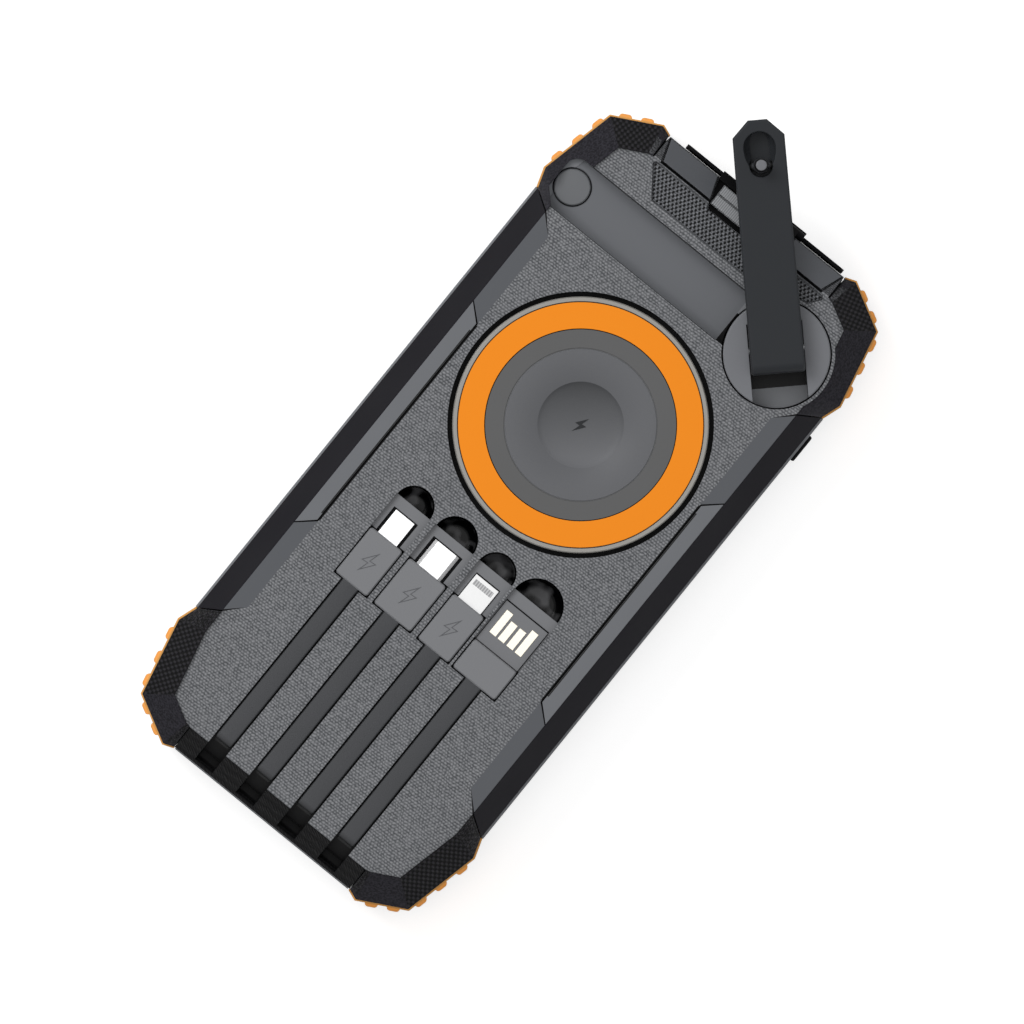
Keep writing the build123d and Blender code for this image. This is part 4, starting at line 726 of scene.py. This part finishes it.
# dark cells with thin silver lines, under the glass
def solarMaterial():
    material, tree, shader, place = newMaterial("solarCells")
    x, y, z = parts(tree, place)

    def lines(value, pitch, half):
        step = mathNode(tree, "FRACT", plus(tree, over(tree, value, pitch * mm), 100.0))
        return below(tree, magnitude(tree, minus(tree, step, 0.5)), half)

    silver = either(tree, times(tree, lines(y, *solarLook["fingers"]), 0.5), lines(x, *solarLook["bars"]))
    grain = useGroup(tree, "grain", {"Vector": place, "Scale": 900.0})
    cell = mixTones(tree, grain["Tone"], solarLook["cell"])
    cell = mixColour(tree, silver, cell, linear(solarLook["silver"]))
    cell = mixColour(tree, lines(y, *solarLook["gaps"]), cell, linear(solarLook["gap"]))
    tree.links.new(cell, shader.inputs["Base Color"])
    tree.links.new(toneRough(tree, grain, 0.25, 0.4), shader.inputs["Roughness"])
    return material


glassLook = {"tint": (0.93, 0.95, 0.96, 1), "bending": 1.45, "smears": 120.0}


# clear cover glass with faint smears
def glassMaterial():
    material, tree, shader, place = newMaterial("panelGlass")
    smear = noise(tree, place, glassLook["smears"], 5.0)
    tree.links.new(ramp(tree, smear, 0.4, 0.75, 0.02, 0.12), shader.inputs["Roughness"])
    shader.inputs["Base Color"].default_value = glassLook["tint"]
    shader.inputs["Transmission Weight"].default_value = 1.0
    shader.inputs["IOR"].default_value = glassLook["bending"]
    return material


cableLook = {"grey": ("3b3c3e", "48494c"), "rim": "66686b", "end": "0e0e0f", "shadeFrom": -80.6, "shadeTo": -82.8}


# flat cable: grey on the back; painted shade: turning black where it goes over the edge
def cableMaterial():
    material, tree, shader, place = newMaterial("cableRun")
    grain, edge = grainAndEdge(tree, place, 3600.0, 0.25)
    # painted shade: the cable is painted black from here on, where it slopes away over the edge
    slopeShade = ramp(tree, parts(tree, place)[1], cableLook["shadeFrom"] * mm, cableLook["shadeTo"] * mm)
    grey = mixTones(tree, grain["Tone"], cableLook["grey"])
    # the lighter rim colour on the cable's edges is partly wear and partly painted highlight
    edgeWearHighlighted = mixColour(tree, times(tree, edge["Mask"], 0.35), grey, linear(cableLook["rim"]))
    colour = mixColour(tree, slopeShade, edgeWearHighlighted, linear(cableLook["end"]))
    finishShader(tree, shader, colour, toneRough(tree, grain, 0.48, 0.6), 0.2, edge, grain["Height"], 0.05)
    return material


scoopLook = {"tones": ("040405", "58585a"), "highlightPatches": 230.0}


# glossy black bowl with painted highlights: a few soft lighter patches on its floor
def scoopMaterial():
    material, tree, shader, place = newMaterial("glossBlack")
    grain, edge = grainAndEdge(tree, place, 4200.0, 0.1)
    # painted highlight: soft lighter patches, only on the upward-facing floor
    highlightPatches = ramp(tree, noise(tree, place, scoopLook["highlightPatches"], 1.0), 0.46, 0.6)
    share = times(tree, highlightPatches, above(tree, upward(tree), 0.5))
    colour = mixTones(tree, share, scoopLook["tones"])
    finishShader(tree, shader, colour, toneRough(tree, grain, 0.1, 0.22), 0.1, edge)
    return material


pegLook = {
    "tip": "77787c",
    "tipTo": (1.16, 1.26),      # mm from the peg's middle
    "shadeRing": "09090a",
    "shadeRingTo": (1.5, 1.65),
    "shoulder": "434447",
    "shoulderTo": (1.9, 2.3),
    "sides": "101011",
}


# peg: light rounded tip; painted shade: a dark ring round the tip and darker sides
def pegMaterial():
    material, tree, shader, place = newMaterial("pegGrey")
    grain, edge = grainAndEdge(tree, place, 4200.0, 0.2)
    reach = reachFrom(tree, place, pegCentre)
    # painted shade: the sides and the dark ring round the tip are painted dark by their distance from the
    # peg's middle
    colour = linear(pegLook["sides"])
    for ring in ("shoulder", "shadeRing", "tip"):
        inner, outer = pegLook[ring + "To"]
        colour = mixColour(tree, ramp(tree, reach, inner * mm, outer * mm), linear(pegLook[ring]), colour)
    colour = mixColour(tree, ramp(tree, grain["Tone"], 0.3, 0.7, 0.12, 0.0), colour, (0, 0, 0, 1))
    finishShader(tree, shader, colour, toneRough(tree, grain, 0.38, 0.5), 0.1, edge)
    return material


slimLow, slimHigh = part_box("head_slim")
slimTip = slimHigh.y / mm
slimMarks = (slimLow.x / mm + 0.6, slimTip - 2.3, 20), (slimHigh.x / mm - 0.6, slimTip - 0.9, 40)
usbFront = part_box("plug_usb")[1].y / mm
usbSeam = (-50, usbFront - 0.05, 20), (50, usbFront + 0.25, 40)
# painted edge shade: the inserts are black inside this box, a strip along their inner edges
insertEdgeShade = (-32.95, -28.0, 20), (32.95, 25.0, 40)
strapBars = (-8.8, 81.2, 20), (8.8, 86.5, 40)

looks["guard"] = guardMaterial()
looks["cover"] = coverMaterial()
looks["mesh"] = meshMaterial()
looks["pad"] = padMaterial()
looks["ring"] = ringMaterial()
looks["hub"] = hubMaterial()
looks["peg"] = pegMaterial()
looks["solar"] = solarMaterial()
looks["glass"] = glassMaterial()
looks["cableRun"] = cableMaterial()
looks["glossBlack"] = scoopMaterial()
looks["insert"] = boxedMaterial("insertGrey", "6c6e72", "0a0a0b", *insertEdgeShade, "8a8c90", 0.2)
looks["strap"] = boxedMaterial("strapBars", "0b0b0c", "a0a2a5", *strapBars, "2a2a2d", 0.08, stripes=0.5)
looks["slimTip"] = boxedMaterial("slimTip", "ffffff", "9c9c9e", *slimMarks, "ffffff", 0.5, stripes=0.62)
looks["usbHead"] = boxedMaterial("usbHead", "77787b", "1c1c1e", *usbSeam, "95979a", 0.2)
print("finishes are mixed")

corners = ("top_left", "top_right", "bottom_left", "bottom_right")

# which CAD node wears which finish
worn = {
    "cover": ["back_cover"],
    "trayGrey": ["front_cover"],
    "bandGrey": ["side_frame"],
    "charcoal": ["side_rail_left", "side_rail_right"],
    "insert": ["side_inserts"],
    "plateGrey": ["end_plates"],
    "mesh": ["mesh_panel"],
    "strap": ["port_strap"],
    "flapBlack": ["port_flap", "power_button", "button_switch"],
    "shadedSlopeBlack": ["end_guard"],
    "guard": [f"corner_guard_{corner}" for corner in corners],
    "bumperOrange": [f"corner_bumper_{corner}" for corner in corners],
    "ring": ["pad_ring"],
    "bandOrange": ["pad_band"],
    "pad": ["pad_disc"],
    "copper": ["charge_coil", "generator_coils"],
    "steel": ["pad_magnets", "gear_screws", "arm_pin", "idler_axle", "generator_rotor", "generator_can"],
    "hub": ["crank_hub"],
    "armCharcoal": ["crank_arm"],
    "peg": ["crank_peg"],
    "bronze": ["hub_bush"],
    "gearWhite": ["drive_gear", "idler_gear"],
    "innerBlack": ["gear_plate"],
    "smoothGrey": ["channel_cap"],
    "cableGrey": ["cable_roots"] + [f"cable_{lead}" for lead in leadNames],
    "plugGrey": [f"plug_{lead}" for lead in leadNames],
    "usbHead": ["head_usb"],
    "brightMetal": ["head_micro", "head_type_c", "usb_socket", "type_c_socket"],
    "slimTip": ["head_slim"],
    "contactMetal": ["usb_contacts"],
    "cellFoil": ["battery_cells"],
    "boardGreen": ["main_board"],
    "solar": ["solar_panel"],
    "glass": ["panel_glass"],
}
for look, names in worn.items():
    for nodeName in names:
        nodes[nodeName].data.materials.clear()
        nodes[nodeName].data.materials.append(looks[look])
print("frame is dressed")


# flat leads: one run of cable each, from the plug over the edge and down the slope
cableRun = {
    "width": 4.4,
    "thick": 1.7,
    "corner": 0.45,
    "cornerSteps": 4,
    "bendSteps": 8,
    "top": 32.7,
    "back": -36.3,
    "bendStart": -82.21,
    "straights": [12.0, 12.0, 12.0, 5.5, 0.9, 0.9, 0.9, 0.9, 0.81],
    "bendRadius": 2.4,
    "bendAngle": 54.5,
    "slopeSteps": [3.6, 3.55, 0.5],
    "fixedBefore": -84.0,
    "freeAfter": -80.6,
}


def makeCable(leadName):
    low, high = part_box(f"cable_{leadName}")
    x = (low.x + high.x) / 2
    middle = (cableRun["top"] - cableRun["thick"] / 2) * mm
    deselectAll()
    start = (x, cableRun["back"] * mm, middle)
    bpy.ops.mesh.primitive_plane_add(size=mm, location=start, rotation=(radians(90), 0, 0))
    run = bpy.context.object
    run.scale = (cableRun["width"], cableRun["thick"], 1)
    bpy.ops.object.transform_apply(location=True, rotation=True, scale=True)
    editMode(run, "VERT")
    bpy.ops.mesh.bevel(affect="VERTICES", offset=cableRun["corner"] * mm, segments=cableRun["cornerSteps"])
    bpy.ops.mesh.select_mode(type="FACE")
    bpy.ops.mesh.select_all(action="SELECT")
    for step in cableRun["straights"]:
        bpy.ops.mesh.extrude_region_move(TRANSFORM_OT_translate={"value": (0, -step * mm, 0)})
    bendY = (cableRun["back"] - sum(cableRun["straights"])) * mm
    bendZ = (cableRun["top"] - cableRun["bendRadius"]) * mm
    lean = radians(cableRun["bendAngle"])
    bpy.ops.mesh.spin(steps=cableRun["bendSteps"], angle=lean, center=(x, bendY, bendZ), axis=(1, 0, 0),
                      dupli=False, use_auto_merge=False)
    for step in cableRun["slopeSteps"]:
        bpy.ops.mesh.extrude_region_move(
            TRANSFORM_OT_translate={"value": (0, -step * cos(lean) * mm, -step * sin(lean) * mm)})
    bpy.ops.mesh.select_all(action="SELECT")
    bpy.ops.mesh.remove_doubles(threshold=1e-6)
    bpy.ops.mesh.normals_make_consistent(inside=False)
    objectMode()
    settle(run, f"cableRun_{leadName}", None, looks["cableRun"], 30)
    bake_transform(run)
    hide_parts(f"cable_{leadName}", "cable_roots")
    return run


for leadName in leadNames:
    makeCable(leadName)
print("cables are laid")

# wireless pad: flat rim, groove, concave dish
padFace = {
    "radius": 21.5,
    "grooveOuter": 17.35,
    "grooveInner": 17.15,
    "grooveDepth": 0.12,
    "dishRadius": 9.8,
    "dishDepth": 1.05,
    "dishSteps": 7,
    "dishFlat": 0.16,      # share of the dish that stays flat in the middle
    "corners": 128,
    "wall": 0.04,
    "dishRim": 0.08,
}


def makePadFace():
    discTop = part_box("pad_disc")[1].z
    deselectAll()
    bpy.ops.mesh.primitive_circle_add(vertices=padFace["corners"], radius=padFace["radius"] * mm,
                                      fill_type="NGON", location=(padCentre.x, padCentre.y, discTop))
    face = bpy.context.object
    bpy.ops.object.transform_apply(location=True, rotation=True, scale=True)
    editMode(face)
    bpy.ops.mesh.inset(thickness=(padFace["radius"] - padFace["grooveOuter"]) * mm)
    bpy.ops.mesh.inset(thickness=padFace["wall"] * mm, depth=-padFace["grooveDepth"] * mm)
    bpy.ops.mesh.inset(thickness=(padFace["grooveOuter"] - padFace["grooveInner"]) * mm)
    bpy.ops.mesh.inset(thickness=padFace["wall"] * mm, depth=padFace["grooveDepth"] * mm)
    rim = padFace["grooveInner"] - padFace["dishRadius"] - padFace["dishRim"]
    bpy.ops.mesh.inset(thickness=rim * mm)
    count = padFace["dishSteps"]
    for step in range(count):
        outer = cos(0.5 * pi * step / count)
        inner = max(cos(0.5 * pi * (step + 1) / count), padFace["dishFlat"])
        drop = sin(0.5 * pi * (step + 1) / count) - sin(0.5 * pi * step / count)
        bpy.ops.mesh.inset(thickness=(outer - inner) * padFace["dishRadius"] * mm,
                           depth=-drop * padFace["dishDepth"] * mm)
    objectMode()
    settle(face, "padFace", "case", looks["pad"], 50)
    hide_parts("pad_disc")
    return face


makePadFace()

# small bolt marks: raised outlines on three plugs and one printed in the dish
boltMark = {
    "points": [(0.9, 3.1), (-1.75, -0.5), (-0.15, -0.35), (-0.95, -3.1), (1.75, 0.55), (0.15, 0.4)],
    "line": 0.16,
    "height": 0.05,
    "middleY": -29.9,
    "dishLift": 0.03,
    "dishScale": 0.74,
}


def makeBolt(name, centre, scale, top, filled, body, material):
    points = [(centre[0] + scale * mm * px, centre[1] + scale * mm * py) for px, py in boltMark["points"]]
    mark = outlinePiece(points, top - boltMark["height"] * mm, name)
    editMode(mark)
    if not filled:
        bpy.ops.mesh.inset(thickness=boltMark["line"] * mm)
        bpy.ops.mesh.delete(type="FACE")
        bpy.ops.mesh.select_all(action="SELECT")
    bpy.ops.mesh.extrude_region_move(TRANSFORM_OT_translate={"value": (0, 0, 2 * boltMark["height"] * mm)})
    bpy.ops.mesh.select_all(action="SELECT")
    bpy.ops.mesh.normals_make_consistent(inside=False)
    objectMode()
    return settle(mark, name, body, material, 30)


for leadName in leadNames[:3]:
    low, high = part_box(f"plug_{leadName}")
    makeBolt(f"plugMark_{leadName}", ((low.x + high.x) / 2, boltMark["middleY"] * mm), 1.0, high.z, False,
             f"lead_{leadName}", looks["markGrey"])
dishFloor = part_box("pad_disc")[1].z - padFace["dishDepth"] * mm
makeBolt("dishMark", (padCentre.x, padCentre.y), boltMark["dishScale"],
         dishFloor + boltMark["dishLift"] * mm, True, "case", looks["markDark"])
print("pad and marks are made")

# finger scoops: glossy black bowls ahead of the connectors
scoopBowl = {
    "radii": {"micro": 4.7, "type_c": 5.3, "slim": 4.7, "usb": 6.2},
    "back": -13.8,
    "floorDepth": 6.95,
    "fillet": 2.6,
    "filletSteps": 6,
    "corners": 64,
    "rimDepth": 0.3,
    "play": 0.03,
    "draft": 0.02,
    "cut": 0.05,
}


def makeScoop(leadName):
    low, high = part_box(f"plug_{leadName}")
    x = (low.x + high.x) / 2
    radius = (scoopBowl["radii"][leadName] - scoopBowl["play"]) * mm
    rim = faceZ - scoopBowl["rimDepth"] * mm
    deselectAll()
    bpy.ops.mesh.primitive_circle_add(vertices=scoopBowl["corners"], radius=radius, fill_type="NGON",
                                      location=(x, scoopBowl["back"] * mm, rim))
    bowl = bpy.context.object
    bpy.ops.object.transform_apply(location=True, rotation=True, scale=True)
    editMode(bowl)
    straight = scoopBowl["floorDepth"] - scoopBowl["rimDepth"] - scoopBowl["fillet"]
    bpy.ops.mesh.inset(thickness=scoopBowl["draft"] * mm, depth=-straight * mm)
    steps = scoopBowl["filletSteps"]
    for step in range(steps):
        a, b = 0.5 * pi * step / steps, 0.5 * pi * (step + 1) / steps
        bpy.ops.mesh.inset(thickness=(cos(a) - cos(b)) * scoopBowl["fillet"] * mm,
                           depth=-(sin(b) - sin(a)) * scoopBowl["fillet"] * mm)
    bpy.ops.mesh.select_all(action="SELECT")
    front = (x, (scoopBowl["back"] + scoopBowl["cut"]) * mm, rim)
    bpy.ops.mesh.bisect(plane_co=front, plane_no=(0, 1, 0), clear_inner=True, use_fill=False)
    objectMode()
    return settle(bowl, f"scoopBowl_{leadName}", "case", looks["glossBlack"], 60)


for leadName in leadNames:
    makeScoop(leadName)
print("scoops are lined")

# light: plain world, a soft box above and one from the picture's top left
light = {
    "worldDiffuse": 0.5,
    "top": {"size": 1.0, "height": 1.7, "power": 4.3},
    "key": {"size": 0.5, "place": (-0.62, 0.08, 0.78), "power": 4.1},
}


def addLamp(name, place, size, power):
    lampData = bpy.data.lights.new(name, "AREA")
    lampData.shape = "SQUARE"
    lampData.size = size
    lampData.energy = power
    lamp = bpy.data.objects.new(name, lampData)
    lamp.location = place
    lamp.visible_camera = False
    lamp.rotation_euler = (-Vector(place)).to_track_quat("-Z", "Y").to_euler()
    bpy.context.scene.collection.objects.link(lamp)
    return lamp


addLamp("topBox", (0, 0, light["top"]["height"]), light["top"]["size"], light["top"]["power"])
addLamp("keyBox", light["key"]["place"], light["key"]["size"], light["key"]["power"])

world = bpy.data.worlds.new("studio")
bpy.context.scene.world = world
world.use_nodes = True
worldTree = world.node_tree
worldTree.nodes.clear()
worldPath = addNode(worldTree, "LightPath")


def seenRays(tree, path):
    return either(tree, *[path.outputs[f"Is {kind} Ray"] for kind in ("Camera", "Glossy", "Transmission")])


seen = seenRays(worldTree, worldPath)
level = plus(worldTree, times(worldTree, seen, 1.0 - light["worldDiffuse"]), light["worldDiffuse"])
background = addNode(worldTree, "Background", {"Color": (1, 1, 1, 1), "Strength": level})
worldOut = addNode(worldTree, "OutputWorld")
worldTree.links.new(background.outputs[0], worldOut.inputs[0])

floorLook = {"size": 6.0, "height": -0.0002, "tone": 0.7, "glow": 0.62}
deselectAll()
bpy.ops.mesh.primitive_plane_add(size=floorLook["size"], location=(0, 0, floorLook["height"]))
floor = bpy.context.object
floor.name = "floor"
floorMaterial = bpy.data.materials.new("paper")
floorMaterial.use_nodes = True
floorTree = floorMaterial.node_tree
floorTree.nodes.clear()
floorPath = addNode(floorTree, "LightPath")
floorGlow = times(floorTree, seenRays(floorTree, floorPath), floorLook["glow"])
floorShade = addNode(floorTree, "BsdfDiffuse", {"Color": (floorLook["tone"],) * 3 + (1,)})
floorLight = addNode(floorTree, "Emission", {"Strength": floorGlow})
floorSum = addNode(floorTree, "AddShader", {0: floorShade.outputs[0], 1: floorLight.outputs[0]})
floorOut = addNode(floorTree, "OutputMaterial")
floorTree.links.new(floorSum.outputs[0], floorOut.inputs[0])
floor.data.materials.append(floorMaterial)
print("light and floor are set")
